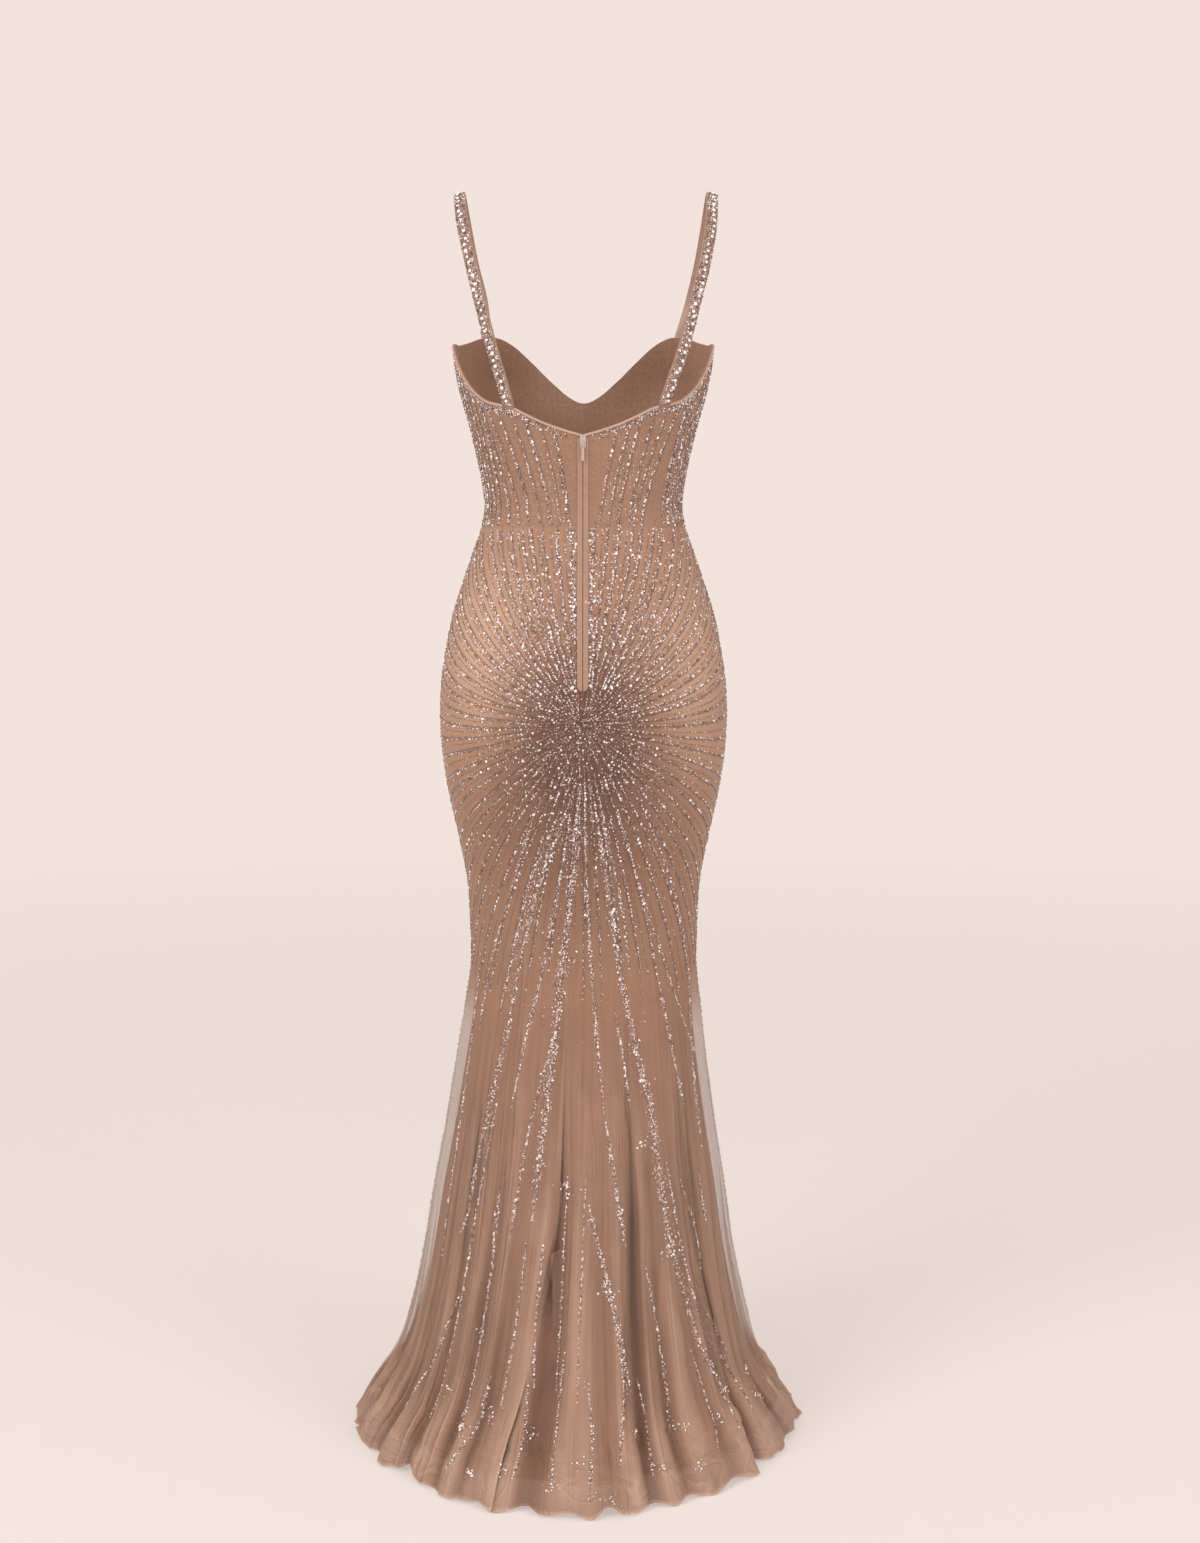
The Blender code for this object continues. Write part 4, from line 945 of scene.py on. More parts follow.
def tulleMaterial(name, tone, sheerOn, mottle=0.0):
    # tone scales the colour of the whole piece, and mottle is the strength of its lace-like clouds
    nodes = MaterialNodes(name, roughness=0.62, sheen=0.25, sheenRoughness=0.4, specular=0.35)
    nodes.give(nodes.shader, {"Sheen Tint": (1.0, 0.86, 0.76, 1.0)})
    shares, depths = clothLook["shares"], clothLook["relief"]
    uv = nodes.add("ShaderNodeUVMap", uv_map="clothUv").outputs[0]
    plain = nodes.ramp(nodes.read("clothShade"), (
        (0.0, clothLook["dark"]), (0.5, clothLook["middle"]), (1.0, clothLook["light"])))
    # lengthwise crinkles, a net, and slow clouds of colour
    crinkle = nodes.noise(nodes.stretch(uv, (260.0, 5.0, 1.0)), 1.0, detail=3.0, roughness=0.6)
    net = nodes.add("ShaderNodeTexVoronoi", {"Vector": uv, "Scale": 620.0, "Randomness": 0.35},
                    feature="DISTANCE_TO_EDGE", voronoi_dimensions="2D").outputs[0]
    net = nodes.minus(1.0, nodes.times(net, 3.2, clamp=True))
    cloud, lace = nodes.noise(uv, 22.0, detail=2.0), nodes.noise(uv, 230.0, detail=2.0)
    puddle, foldShare, rayShare = (nodes.read(label) for label in ("puddle", "foldShare", "rayShare"))
    edges = layerEdges(nodes, uv, puddle)
    if sheerOn or name == "lining_satin":
        edges = nodes.times(edges, nodes.plus(0.03, nodes.times(foldShare, 0.19)))
        edges = nodes.times(edges, nodes.plus(1.0, nodes.times(puddle, 0.5)))
    else:
        edges = nodes.times(edges, 0.03)
    # painted shade along the rays, where the cloth is pinched under the cords, darker near the focus
    number, reach, spacing, away = nearestRay(nodes)
    half = nodes.calc("MINIMUM", nodes.times(spacing, 0.40), 0.0020)
    line = nodes.times(nodes.minus(1.0, nodes.over(away, half), clamp=True), rayShare)
    near = nodes.over(nodes.minus(0.12, reach), 0.08, clamp=True)
    dark = nodes.plus(clothLook["rayPaintedShade"][0], nodes.times(near, clothLook["rayPaintedShade"][1]))
    # threads that run along the rays take the place of the lengthwise crinkles on the sunburst
    along = nodes.add("ShaderNodeCombineXYZ", {0: nodes.times(number, 4.0), 1: nodes.times(reach, 14.0)})
    threads = nodes.noise(along.outputs[0], 1.0, detail=3.0, roughness=0.6)
    crinkle = nodes.plus(crinkle, nodes.times(rayShare, nodes.minus(threads, crinkle)))
    # along each fold a painted light edge, a dark line where the cloth lies doubled, with painted shade, and
    # a painted shadow that fades out to one side
    place = nodes.plus(nodes.over(nodes.read("foldAway"), 0.030), 0.30)
    profile = nodes.ramp(place, [(at, (value,) * 3) for at, value in clothLook["foldProfile"]])
    fold = nodes.times(nodes.minus(profile, 0.5), nodes.times(nodes.read("foldDeep"), clothLook["foldPaintedLightAndShade"]))
    factor = nodes.plus(
        nodes.times(crinkle, shares["crinkle"]), nodes.times(cloud, shares["cloud"]),
        nodes.times(net, shares["net"]), nodes.times(lace, mottle), edges, fold, 0.785 - 0.5 * mottle)
    factor = nodes.minus(factor, nodes.times(line, dark))
    factor = nodes.times(factor, nodes.times(nodes.read("lift"), tone))
    # layer over layer is a little greyer than one alone
    tints = [nodes.times(factor, nodes.plus(1.0, nodes.times(foldShare, more))) for more in (0.05, 0.11)]
    colour = nodes.mix(1.0, plain, nodes.grey(factor, *tints), "MULTIPLY")
    dot, glass = glitterDots(nodes, uv, away, rayShare)
    nodes.give(nodes.shader, {"Base Color": nodes.mix(dot, colour, glass)})
    parts = {"crinkle": crinkle, "net": net, "line": line, "edges": edges, "fold": fold}
    nodes.relief(nodes.plus(*(nodes.times(part, depths[label]) for label, part in parts.items())), 0.7)
    if sheerOn:
        held = nodes.plus(clothLook["sheerAlpha"] - 0.10, nodes.times(crinkle, 0.20))
        lost = nodes.times(nodes.read("sheer"), nodes.minus(1.0, held))
        nodes.give(nodes.shader, {"Alpha": nodes.calc("MAXIMUM", nodes.minus(1.0, lost), dot)})
    return nodes.material


def satinMaterial(name, colour, roughness=0.42, ribs=900.0):
    # a fine weave and slow clouds, in the tone and in the relief
    nodes = MaterialNodes(name, roughness=roughness, sheen=0.2, specular=0.5)
    place = nodes.objectPlace()
    noise, weave = nodes.noise(place, 160.0, detail=3.0), nodes.noise(place, ribs, detail=1.0)
    factor = nodes.plus(nodes.times(noise, 0.3), 0.85)
    nodes.give(nodes.shader, {"Base Color": nodes.mix(1.0, (*colour, 1.0), nodes.grey(factor), "MULTIPLY")})
    nodes.relief(nodes.plus(nodes.times(noise, 0.0003), nodes.times(weave, 0.00012)), 0.6)
    return nodes.material


beadGlassLook = {
    # tone of a bead from 0 to 1: bronze, brown, rose, crystal
    "colours": ((0.0, (0.10, 0.052, 0.036)), (0.33, (0.33, 0.205, 0.155)), (0.66, (0.60, 0.46, 0.41)),
                (1.0, (0.97, 0.91, 0.94))),
    # a faint glow of the crystals, which paints their glint
    "glint": ((0.80, (0.0, 0.0, 0.0)), (0.92, (0.95, 0.92, 1.0))),
    "glintStrength": 0.18,
}


def beadMaterial():
    # lined glass, from dark bronze through rose to crystal, by each bead's own tone; the crystals glow a
    # little, a painted glint
    nodes = MaterialNodes("bead_glass", specular=0.9, coat=0.3, coatRoughness=0.08)
    tone = nodes.read("beadTone")
    noise = nodes.noise(nodes.objectPlace(), 900.0)
    nodes.give(nodes.shader, {
        "Base Color": nodes.ramp(tone, beadGlassLook["colours"]),
        "Emission Color": nodes.ramp(tone, beadGlassLook["glint"]),
        "Emission Strength": beadGlassLook["glintStrength"],
        "Roughness": nodes.plus(nodes.times(noise, 0.25), 0.06),
    })
    return nodes.material


def metalMaterial():
    # lacquer over metal, in two close tones
    nodes = MaterialNodes("nude_lacquered_metal", metallic=0.75, coat=0.4, coatRoughness=0.2)
    noise = nodes.noise(nodes.objectPlace(), 700.0, detail=4.0)
    nodes.give(nodes.shader, {
        "Base Color": nodes.mix(noise, (0.60, 0.50, 0.44, 1.0), (0.74, 0.64, 0.58, 1.0)),
        "Roughness": nodes.plus(nodes.times(noise, 0.2), 0.2),
    })
    return nodes.material


bodiceTulle = tulleMaterial("bodice_tulle", 0.88, False, 0.60)
skirtTulle = tulleMaterial("skirt_tulle", 1.0, True)
liningSatin = tulleMaterial("lining_satin", 0.98, False)
bindingSatin = satinMaterial("binding_satin", (0.50, 0.32, 0.235))
zipTape = satinMaterial("zip_tape", (0.365, 0.215, 0.148), 0.5)
# the teeth are dark, which paints the shade in the slit
zipSlitShade = satinMaterial("zip_teeth", (0.12, 0.060, 0.038), 0.4)
threadDark = satinMaterial("corded_thread", (0.225, 0.130, 0.088), 0.5)
strapSatin = satinMaterial("strap_satin", (0.34, 0.21, 0.155))
beadGlass = beadMaterial()
zipMetal = metalMaterial()
print("materials made")


def addCloth(node, angles, rowStations, material, thickness, sunk=0.0, foldShare=1.0,
             creaseShare=1.0, sheerOn=False, lines=()):
    # the shell that takes a solid's place: the cloth's form, sunk by a length along its normal
    name = "cloth_" + node.replace("skirt_lining", "lining")
    normal = clothNormal(angles, rowStations, foldShare, creaseShare)
    outer = clothPoint(angles, rowStations, foldShare, creaseShare) - normal * np.asarray(sunk)[..., None]
    mesh = shellMesh(name, outer, normal, np.asarray(thickness)[..., None])
    describeCloth(mesh, angles, rowStations, sheerOn, lines)
    piece = addPiece(name, mesh, material)
    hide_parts(node)
    return piece


skirtCloth = {
    "thickness": 0.0010,
    "hemThickness": 0.0016,
    "hemRoll": 0.005,
    "rowEnds": (0.60, 0.05),  # the knee and the spread of the hem, in height
    # columns, and rows down to the knee, to the spread of the hem and to its edge
    "back": (161, (61, 101, 31)),
    "front": (193, (41, 61, 19)),
}


def skirtStations(counts):
    ends = (waistStation + halfSeam, *stationAt(skirtCloth["rowEnds"]), stations[-1])
    stretches = [np.linspace(*ends[k:k + 2], count) for k, count in enumerate(counts)]
    return np.concatenate((stretches[0], stretches[1][1:], stretches[2][1:]))


def skirtPanel(node, first, last, columns, counts, lines):
    # a cloth whose edge at the hem is rolled
    rows = skirtStations(counts)
    angles = panelColumns(first, last, columns, rows)
    rowStations = np.broadcast_to(rows[:, None], angles.shape)
    rolled = ease((rowStations - stations[-1]) / skirtCloth["hemRoll"] + 1)
    thickness = skirtCloth["thickness"] + (skirtCloth["hemThickness"] - skirtCloth["thickness"]) * rolled
    return addCloth(node, angles, rowStations, skirtTulle, thickness, sheerOn=True,
                    lines=lines)


skirtBackLeft = skirtPanel("skirt_back_left", -90.0, 0.0, *skirtCloth["back"], backStreaks)
skirtBackRight = skirtPanel("skirt_back_right", 0.0, 90.0, *skirtCloth["back"], backStreaks)
skirtFront = skirtPanel("skirt_front", 90.0, 270.0, *skirtCloth["front"], frontStreaks)
print("skirt panels laid")

liningCloth = {"rows": 61, "columns": 181, "thickness": 0.0009, "creaseShare": 0.4}


def liningPanel(node, first, last):
    # it hangs close under the skirt at the knee, and eases away from it below
    ends = (stationAt(gownForm[label]) for label in ("liningTopHeight", "liningHemHeight"))
    rows = np.linspace(*ends, liningCloth["rows"])
    heights = smoothThrough(stations, sectionTable[:, 0], rows)
    angles = panelColumns(first, last, liningCloth["columns"], rows)
    rowStations = np.broadcast_to(rows[:, None], angles.shape)
    opened = ease((gownForm["liningTopHeight"] - heights) / gownForm["liningEaseLength"])
    sunk = gownForm["skirtWall"] + gownForm["seamGap"] + gownForm["liningEase"] * opened
    return addCloth(node, angles, rowStations, liningSatin, liningCloth["thickness"],
                    sunk[:, None], gownForm["liningFoldShare"], liningCloth["creaseShare"])


liningBack = liningPanel("skirt_lining_back", -90.0, 90.0)
liningFront = liningPanel("skirt_lining_front", 90.0, 270.0)
print("inner layer hung")

bodiceCloth = {"rows": 33, "thickness": 0.0018}


def bodicePanel(node, first, last, columns):
    # rows at even shares of the way from the top edge to the waist
    bottom = waistStation - halfSeam
    share = np.linspace(0.0, 1.0, bodiceCloth["rows"])[:, None]
    ends = [top * (1 - share[:, 0]) + bottom * share[:, 0] for top in topStation(np.array([first, last]))]
    angles = np.tile(np.linspace(first, last, columns), (len(share), 1))
    angles[:, 0] += degreesFor(halfSeam, first, ends[0])
    angles[:, -1] -= degreesFor(halfSeam, last, ends[1])
    rowStations = topStation(angles) * (1 - share) + bottom * share
    return addCloth(node, angles, rowStations, bodiceTulle, bodiceCloth["thickness"],
                    creaseShare=0.0, lines=bodiceGlitter)


bodiceBackLeft = bodicePanel("bodice_back_left", -90.0, 0.0, 81)
bodiceBackRight = bodicePanel("bodice_back_right", 0.0, 90.0, 81)
bodiceFront = bodicePanel("bodice_front", 90.0, 270.0, 161)
print("bodice panels laid")

# Bindings: half-round bands along the top edge of the bodice
binding = {"width": 0.0032, "height": 0.0014, "round": 9, "perDegree": 1.2, "pucker": 0.00012}


def edgeBand(node, first, last):
    columns = int((last - first) * binding["perDegree"]) * 2 + 1
    angles = np.tile(np.linspace(first, last, columns), (binding["round"], 1))
    turn = np.linspace(0.0, pi, binding["round"])[:, None]
    rowStations = topStation(angles) + (1 - np.cos(turn)) / 2 * binding["width"]
    wave = binding["pucker"] * np.sin(angles * 7.3) + binding["pucker"] * np.sin(angles * 3.1 + 1.0)
    raised = gownForm["seamGap"] + (binding["height"] + wave) * np.sin(turn)
    normal = clothNormal(angles, rowStations, creaseShare=0.0)
    outer = clothPoint(angles, rowStations, creaseShare=0.0) + normal * raised[..., None]
    base = clothPoint(angles, rowStations, creaseShare=0.0) + normal * gownForm["seamGap"] * 0.5
    mesh = shellMesh("cloth_" + node, outer, outer - base, 1.0)
    piece = addPiece("cloth_" + node, mesh, bindingSatin)
    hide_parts(node)
    return piece


strapShape = {
    "width": 0.0138, "wall": 0.0020, "crown": 0.0012, "joinLength": 0.020,
    "rows": 121, "columns": 9,
    # side, angle of its middle at the back and at the front
    "left": (-1, 36.5, 133.0),
    "right": (1, 40.2, 134.0),
    # half distance, y, height, swing towards +X, slope of the width
    "stops": (
        (0.0990, -0.0830, 1.235, 0.0048, 0.50, 0.00),
        (0.1082, -0.0850, 1.263, 0.0056, 0.47, 0.00),
        (0.1245, -0.0820, 1.325, 0.0056, 0.40, -0.04),
        (0.1378, -0.0660, 1.381, 0.0056, 0.28, -0.10),
        (0.1457, -0.0410, 1.425, 0.0043, 0.14, -0.18),
        (0.1478, -0.0200, 1.447, 0.0034, 0.06, -0.24),
        (0.1486, 0.0000, 1.457, 0.0030, 0.00, -0.27),
        (0.1476, 0.0210, 1.448, 0.0030, -0.10, -0.24),
        (0.1440, 0.0430, 1.423, 0.0032, -0.26, -0.16),
        (0.1370, 0.0650, 1.382, 0.0034, -0.44, -0.08),
        (0.1266, 0.0820, 1.338, 0.0034, -0.62, -0.02),
    ),
}


def strapPoints(label, along, across):
    # a ribbon carried along the smooth route; near both ends it eases onto the bodice's edge
    side, backAngle, frontAngle = strapShape[label]
    mirror = np.array([side, 1.0, 1.0])

    def edge(angle, shares):
        half = degreesFor(strapShape["width"] / 2, angle, topStation(angle))
        turned = side * (angle + shares * half * (1 if angle < 90 else -1))
        turned = np.where(turned < -90.0, turned + 360.0, turned)
        return clothPoint(turned, topStation(turned) - gownForm["seamGap"], 1.0, 0.0)

    stops = np.array(strapShape["stops"])
    middles = np.stack((stops[:, 0] + side * stops[:, 3], stops[:, 1],
                        stops[:, 2] - gownForm["shoulderHeight"]), axis=1)
    route = np.concatenate((edge(backAngle, np.zeros(1)) * mirror, middles,
                            edge(frontAngle, np.zeros(1)) * mirror))
    knots = lengthsAlong(route)

    def ribbon(at, shares):
        centre, ahead = (np.stack([smoothThrough(knots, column, place) for column in route.T], axis=-1)
                         for place in (at, at + 0.0005))
        tangent = unit(ahead - centre)
        slopes = [smoothThrough(knots, np.pad(stops[:, column], 1, mode="edge"), at) for column in (4, 5)]
        wide = np.stack((np.ones(at.shape), *slopes), axis=-1)
        wide = unit(wide - tangent * np.sum(wide * tangent, axis=-1, keepdims=True))
        crown = np.cross(wide, tangent) * (1 - shares[..., None] ** 2) * strapShape["crown"]
        place = centre + wide * (shares[..., None] * strapShape["width"] / 2) + crown
        return place * mirror, np.cross(wide, tangent) * mirror

    at = along * knots[-1]
    place, normal = ribbon(at, across)
    for angle, end, near in ((backAngle, 0.0, at), (frontAngle, knots[-1], knots[-1] - at)):
        miss = edge(angle, across) - ribbon(np.full(at.shape, end), across)[0]
        place = place + miss * (1 - ease(near / strapShape["joinLength"]))[..., None]
    return place, normal, knots[-1]


def strapPiece(label):
    side = strapShape[label][0]
    along, across = np.meshgrid(np.linspace(0.0, 1.0, strapShape["rows"]),
                                np.linspace(-1.0, 1.0, strapShape["columns"]), indexing="ij")
    place, normal, length = strapPoints(label, along, across)
    order = slice(None, None, -side)
    mesh = shellMesh(f"cloth_strap_{label}", place[:, order], normal[:, order], strapShape["wall"])
    piece = addPiece(f"cloth_strap_{label}", mesh, strapSatin)
    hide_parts(f"strap_{label}")
    return piece, length


strapLeft, strapLength = strapPiece("left")
strapRight, _ = strapPiece("right")

halfGap = float(degreesFor(gownForm["seamGap"] / 2, 0.0, topStation(0.0)))
frontStarts = []
for label in ("left", "right"):
    side, backAngle, frontAngle = strapShape[label]
    half = strapShape["width"] / 2 + gownForm["seamGap"]
    halfBack = float(degreesFor(half, backAngle, topStation(backAngle)))
    halfFront = float(degreesFor(half, frontAngle, topStation(frontAngle)))
    frontStarts.append(frontAngle + halfFront)
    stretches = {"neck": (halfGap, backAngle - halfBack),
                 "arm": (backAngle + halfBack, frontAngle - halfFront)}
    for part, stretch in stretches.items():
        first, last = sorted(side * angle for angle in stretch)
        edgeBand(f"binding_{part}_{label}", first, last)
edgeBand("binding_front", frontStarts[1], 360.0 - frontStarts[0])
print("straps and bindings sewn")

# Zip: two plain strips, and the teeth, whose dark colour paints the shade of the slit between them
zipLook = {"stripWidth": 0.0060, "start": 0.0004, "rows": 121, "toothPitch": 0.0016,
           "tooth": (0.0011, 0.0005, 0.0008)}


def zipStrip(label, side):
    # the section is a flat arch with a small ridge beside the slit, and the lower end is round
    top = float(topStation(0.0)) + binding["width"] + gownForm["seamGap"]
    end, width = zipEndStation, zipLook["stripWidth"]
    rows = np.concatenate((np.linspace(top, end - width, zipLook["rows"])[:-1],
                           end - width + np.sin(np.linspace(0.0, 0.93, 9) * pi / 2) * width))
    past = np.clip((rows - end + width) / width, 0.0, 1.0)
    share = np.linspace(0.0, 1.0, 9)
    across = zipLook["start"] + share[None, :] * (width * np.sqrt(1 - past**2))[:, None]
    raised = gownForm["seamGap"] + gownForm["trimWall"] * (
        0.55 + 0.45 * np.sqrt(np.clip(1 - (2 * share - 1) ** 4, 0, 1))) * np.ones((len(rows), 1))
    raised += 0.00035 * np.exp(-((share - 0.12) / 0.12) ** 2)
    if side < 0:
        across, raised = -across[:, ::-1], raised[:, ::-1]
    rowStations = np.broadcast_to(rows[:, None], across.shape)
    angles = degreesFor(1.0, 0.0, rows)[:, None] * across
    normal = clothNormal(angles, rowStations, creaseShare=0.0)
    base = clothPoint(angles, rowStations, creaseShare=0.0) + normal * gownForm["seamGap"]
    outer = base + normal * (raised - gownForm["seamGap"])[..., None]
    mesh = shellMesh(f"cloth_zip_strip_{label}", outer, outer - base, 1.0)
    piece = addPiece(f"cloth_zip_strip_{label}", mesh, zipTape)
    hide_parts(f"zip_strip_{label}")
    return piece


zipStripLeft = zipStrip("left", -1)
zipStripRight = zipStrip("right", 1)


def boxesMesh(name, centre, right, out, down, size):
    # a small box at each centre, turned to its own three directions
    signs = np.array([(x, y, z) for x in (-1, 1) for y in (-1, 1) for z in (-1, 1)]) / 2
    faces = np.array(((0, 1, 3, 2), (4, 6, 7, 5), (0, 4, 5, 1), (2, 3, 7, 6), (0, 2, 6, 4), (1, 5, 7, 3)))
    axes = np.stack((right * size[0], out * size[1], down * size[2]), axis=1)
    points = centre[:, None, :] + np.einsum("kc,ncd->nkd", signs, axes)
    turned = np.linalg.det(axes) < 0
    corners = faces[None] + 8 * np.arange(len(centre))[:, None, None]
    corners[turned] = corners[turned][..., ::-1]
    return meshFrom(name, points.reshape(-1, 3), corners.reshape(-1, 4))


def zipTeeth():
    # small boxes to the left and right by turns
    rows = np.arange(float(topStation(0.0)) + 0.004, zipEndStation - 0.001, zipLook["toothPitch"])
    angle = np.zeros(rows.shape)
    normal = clothNormal(angle, rows, creaseShare=0.0)
    centre = clothPoint(angle, rows, creaseShare=0.0) + normal * 0.0004
    side = np.where(np.arange(len(rows)) % 2 == 0, 1, -1)[:, None] * np.array([[0.0001, 0.0, 0.0]])
    right = np.tile([[1.0, 0.0, 0.0]], (len(rows), 1))
    mesh = boxesMesh("zip_teeth", centre + side, right, normal, np.cross(right, normal), zipLook["tooth"])
    return addPiece("zip_teeth", mesh, zipSlitShade)


zipTeeth()
for node in ("zip_slider", "zip_pull"):
    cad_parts[node].material_slots[0].material = zipMetal
print("zip set in")

# Dark corded lines: thin three-sided tubes laid on the cloth
cord = {"width": 0.0007, "height": 0.0005}


def tubesMesh(name, paths):
    # each path gives angles and stations; a low triangle is carried along it, closed at both ends
    points, faces, ends, count = [], [], [], 0
    for angles, rowStations, creaseShare, shift, size in paths:
        place = clothPoint(angles, rowStations, 1.0, creaseShare)
        normal = clothNormal(angles, rowStations, 1.0, creaseShare)
        across = np.cross(normal, unit(np.gradient(place, axis=0)))
        taper = np.clip(np.minimum(np.arange(len(place)), np.arange(len(place))[::-1]) / 2, 0.15, 1.0)
        taper = (taper * size)[:, None]
        place = place + across * np.broadcast_to(shift, len(place))[:, None]
        ring = np.stack((
            place + across * cord["width"] / 2 * taper - normal * 0.0001,
            place + normal * cord["height"] * taper,
            place - across * cord["width"] / 2 * taper - normal * 0.0001,
        ), axis=1)
        number = count + np.arange(ring.shape[0] * 3).reshape(-1, 3)
        for k in range(3):
            m = (k + 1) % 3
            faces.append(np.stack((number[:-1, k], number[:-1, m], number[1:, m], number[1:, k]), axis=1))
        ends.append(np.stack((number[0, ::-1], number[-1]), axis=0))
        points.append(ring.reshape(-1, 3))
        count += len(points[-1])
    mesh = meshFrom(name, np.concatenate(points), np.concatenate(faces), np.concatenate(ends))
    mesh.shade_smooth()
    return mesh


def rayRows(table, shift, starts, begins, limit=89.0):
    # the rays of one sunburst, cut where they leave the skirt or pass under the zip's strips
    found = []
    for start, begin in zip(starts, begins):
        length = np.interp(abs(start), lengthTable[:, 0], lengthTable[:, 1])
        reach = np.arange(begin, length, 0.002)
        angles, rowStations, arc = rayPath(start, reach, table, 0.0)
        inside = (np.abs(angles) < limit) & (rowStations > waistStation + 0.0004)
        if shift == 0:
            inside &= (np.abs(arc) > 0.0080) | (rowStations > zipEndStation + 0.003)
        kept = np.flatnonzero(inside)
        for run in np.split(kept, np.flatnonzero(np.diff(kept) > 1) + 1):
            if len(run) > 5:
                found.append((start, reach[run], angles[run] + shift, rowStations[run]))
    return found


# even rays carry a dark line from the focus out and beads from further out; odd rays are bands
# of beads from the focus, with a dark line further out
evenRay = np.arange(len(rays)) % 2 == 0
unevenSeed, nearShift, farShift = sunburst["uneven"]
uneven = np.random.default_rng(unevenSeed).uniform(-1.0, 1.0, len(rays))
farBegins = sunburst["second"] + farShift * uneven
beadBegins = np.where(evenRay, farBegins - 0.004, sunburst["start"] + nearShift * uneven)
cordBegins = np.where(evenRay, sunburst["start"] - 0.003, farBegins)
backRays = rayRows(arcBack, 0.0, rays, beadBegins)
frontRays = rayRows(arcFront, 180.0, rays, beadBegins)
# finer rows half way between the rays
betweenRays = (rays[:-1] + rays[1:]) / 2
betweenBegins = np.interp(np.abs(betweenRays), *sunburst["between"])
backBetween = rayRows(arcBack, 0.0, betweenRays, betweenBegins)
frontBetween = rayRows(arcFront, 180.0, betweenRays, betweenBegins)


def rayCords(rayList, every):
    # thinner where the rays come together
    return [(angles[::every], rowStations[::every], 1.0, 0.0, np.clip(reach[::every] / 0.030, 0.4, 1.0))
            for _, reach, angles, rowStations in rayList]


cordRays, cordStarts = np.append(rays, betweenRays), np.append(cordBegins, betweenBegins + 0.01)
for name, table, shift, every in (
        ("cords_hips_back", arcBack, 0.0, 3), ("cords_hips_front", arcFront, 180.0, 5)):
    cords = rayCords(rayRows(table, shift, cordRays, cordStarts), every)
    addPiece(name, tubesMesh(name, cords), threadDark)
bodiceCords = [(angles[::5], rowStations[::5], 0.0, 0.0026, 1.0) for angles, rowStations, _ in bodiceRowPaths]
addPiece("cords_bodice", tubesMesh("cords_bodice", bodiceCords), threadDark)
print("corded lines laid")

# Beads
beadLook = {
    "small": (0.0016, 0.0024),
    "crystal": 1.22,  # how much larger the brightest ones are
    "fine": 0.68,  # size of the smallest beads beside the small ones
    "stone": (0.0028, 0.0040),
    "tilt": 0.35,
    "sink": 0.18,
}


class BeadBag:
    # gathers beads: angle, station, share of the creases, size, tone, and 1 for a cut stone
    def __init__(self, seed):
        self.random = np.random.default_rng(seed)
        self.rows = []

    def drop(self, angles, rowStations, creaseShare, size, tone, stone=0.0):
        count = len(angles)
        self.rows.append(np.stack([np.broadcast_to(np.asarray(value, float), (count,)) for value in (
            angles, rowStations, creaseShare, size, tone, stone)], axis=1))

    def tones(self, count, bright):
        # three kinds of glass: bronze, rose and crystal
        kind = self.random.uniform(size=count)
        dark = 0.42 * (1 - bright)
        clear = 0.04 + 0.40 * bright
        tone = np.where(kind < dark, self.random.uniform(0.0, 0.3, count),
                        self.random.uniform(0.32, 0.68, count))
        return np.where(kind > 1 - clear, self.random.uniform(0.82, 1.0, count), tone)

    def line(self, angles, rowStations, spacing, width, bright, creaseShare=1.0, keep=1.0, stones=0.02,
             scale=1.0, shift=0.0):
        # beads at jittered steps along a path whose points are 2 mm apart, strewn over its width
        # and shifted to its side
        last = len(angles) - 1
        count = max(2, int(0.002 * last / spacing))
        at = (np.arange(count) + self.random.uniform(-0.3, 0.3, count)) / count * last

        def along(values):
            values = np.atleast_1d(values)
            return np.interp(at, np.linspace(0, last, len(values)), values)

        at = at[self.random.uniform(size=count) < along(keep)]
        spot, row = along(angles), along(rowStations)
        spread = self.random.uniform(-0.5, 0.5, len(at)) * along(width) + along(shift)
        # the path's direction, as metres across and down the cloth
        across = along(np.gradient(angles) / degreesFor(1.0, angles, rowStations))
        down = along(np.gradient(rowStations))
        length = np.maximum(np.hypot(across, down), 1e-9)
        spot = spot + spread * down / length * degreesFor(1.0, spot, row)
        row = row - spread * across / length
        tone = self.tones(len(at), along(bright))
        stone = self.random.uniform(size=len(at)) < stones
        size = np.where(stone, self.random.uniform(*beadLook["stone"], len(at)),
                        self.random.uniform(*beadLook["small"], len(at))) * along(scale)
        size = size * np.where((tone > 0.8) & ~stone, beadLook["crystal"], 1.0)
        self.drop(spot, row, creaseShare, size, np.where(stone, np.maximum(tone, 0.9), tone), stone)

    def cluster(self, angle, station, count, spread, bright=0.8):
        # a patch that thins outward
        reach = spread * np.abs(self.random.normal(0.0, 0.6, count))
        turn = self.random.uniform(0, 2 * pi, count)
        spots = angle + reach * np.cos(turn) * degreesFor(1.0, angle, station)
        size = self.random.uniform(0.0014, 0.0030, count)
        self.drop(spots, station + reach * np.sin(turn), 1.0, size, self.tones(count, bright), size > 0.0027)


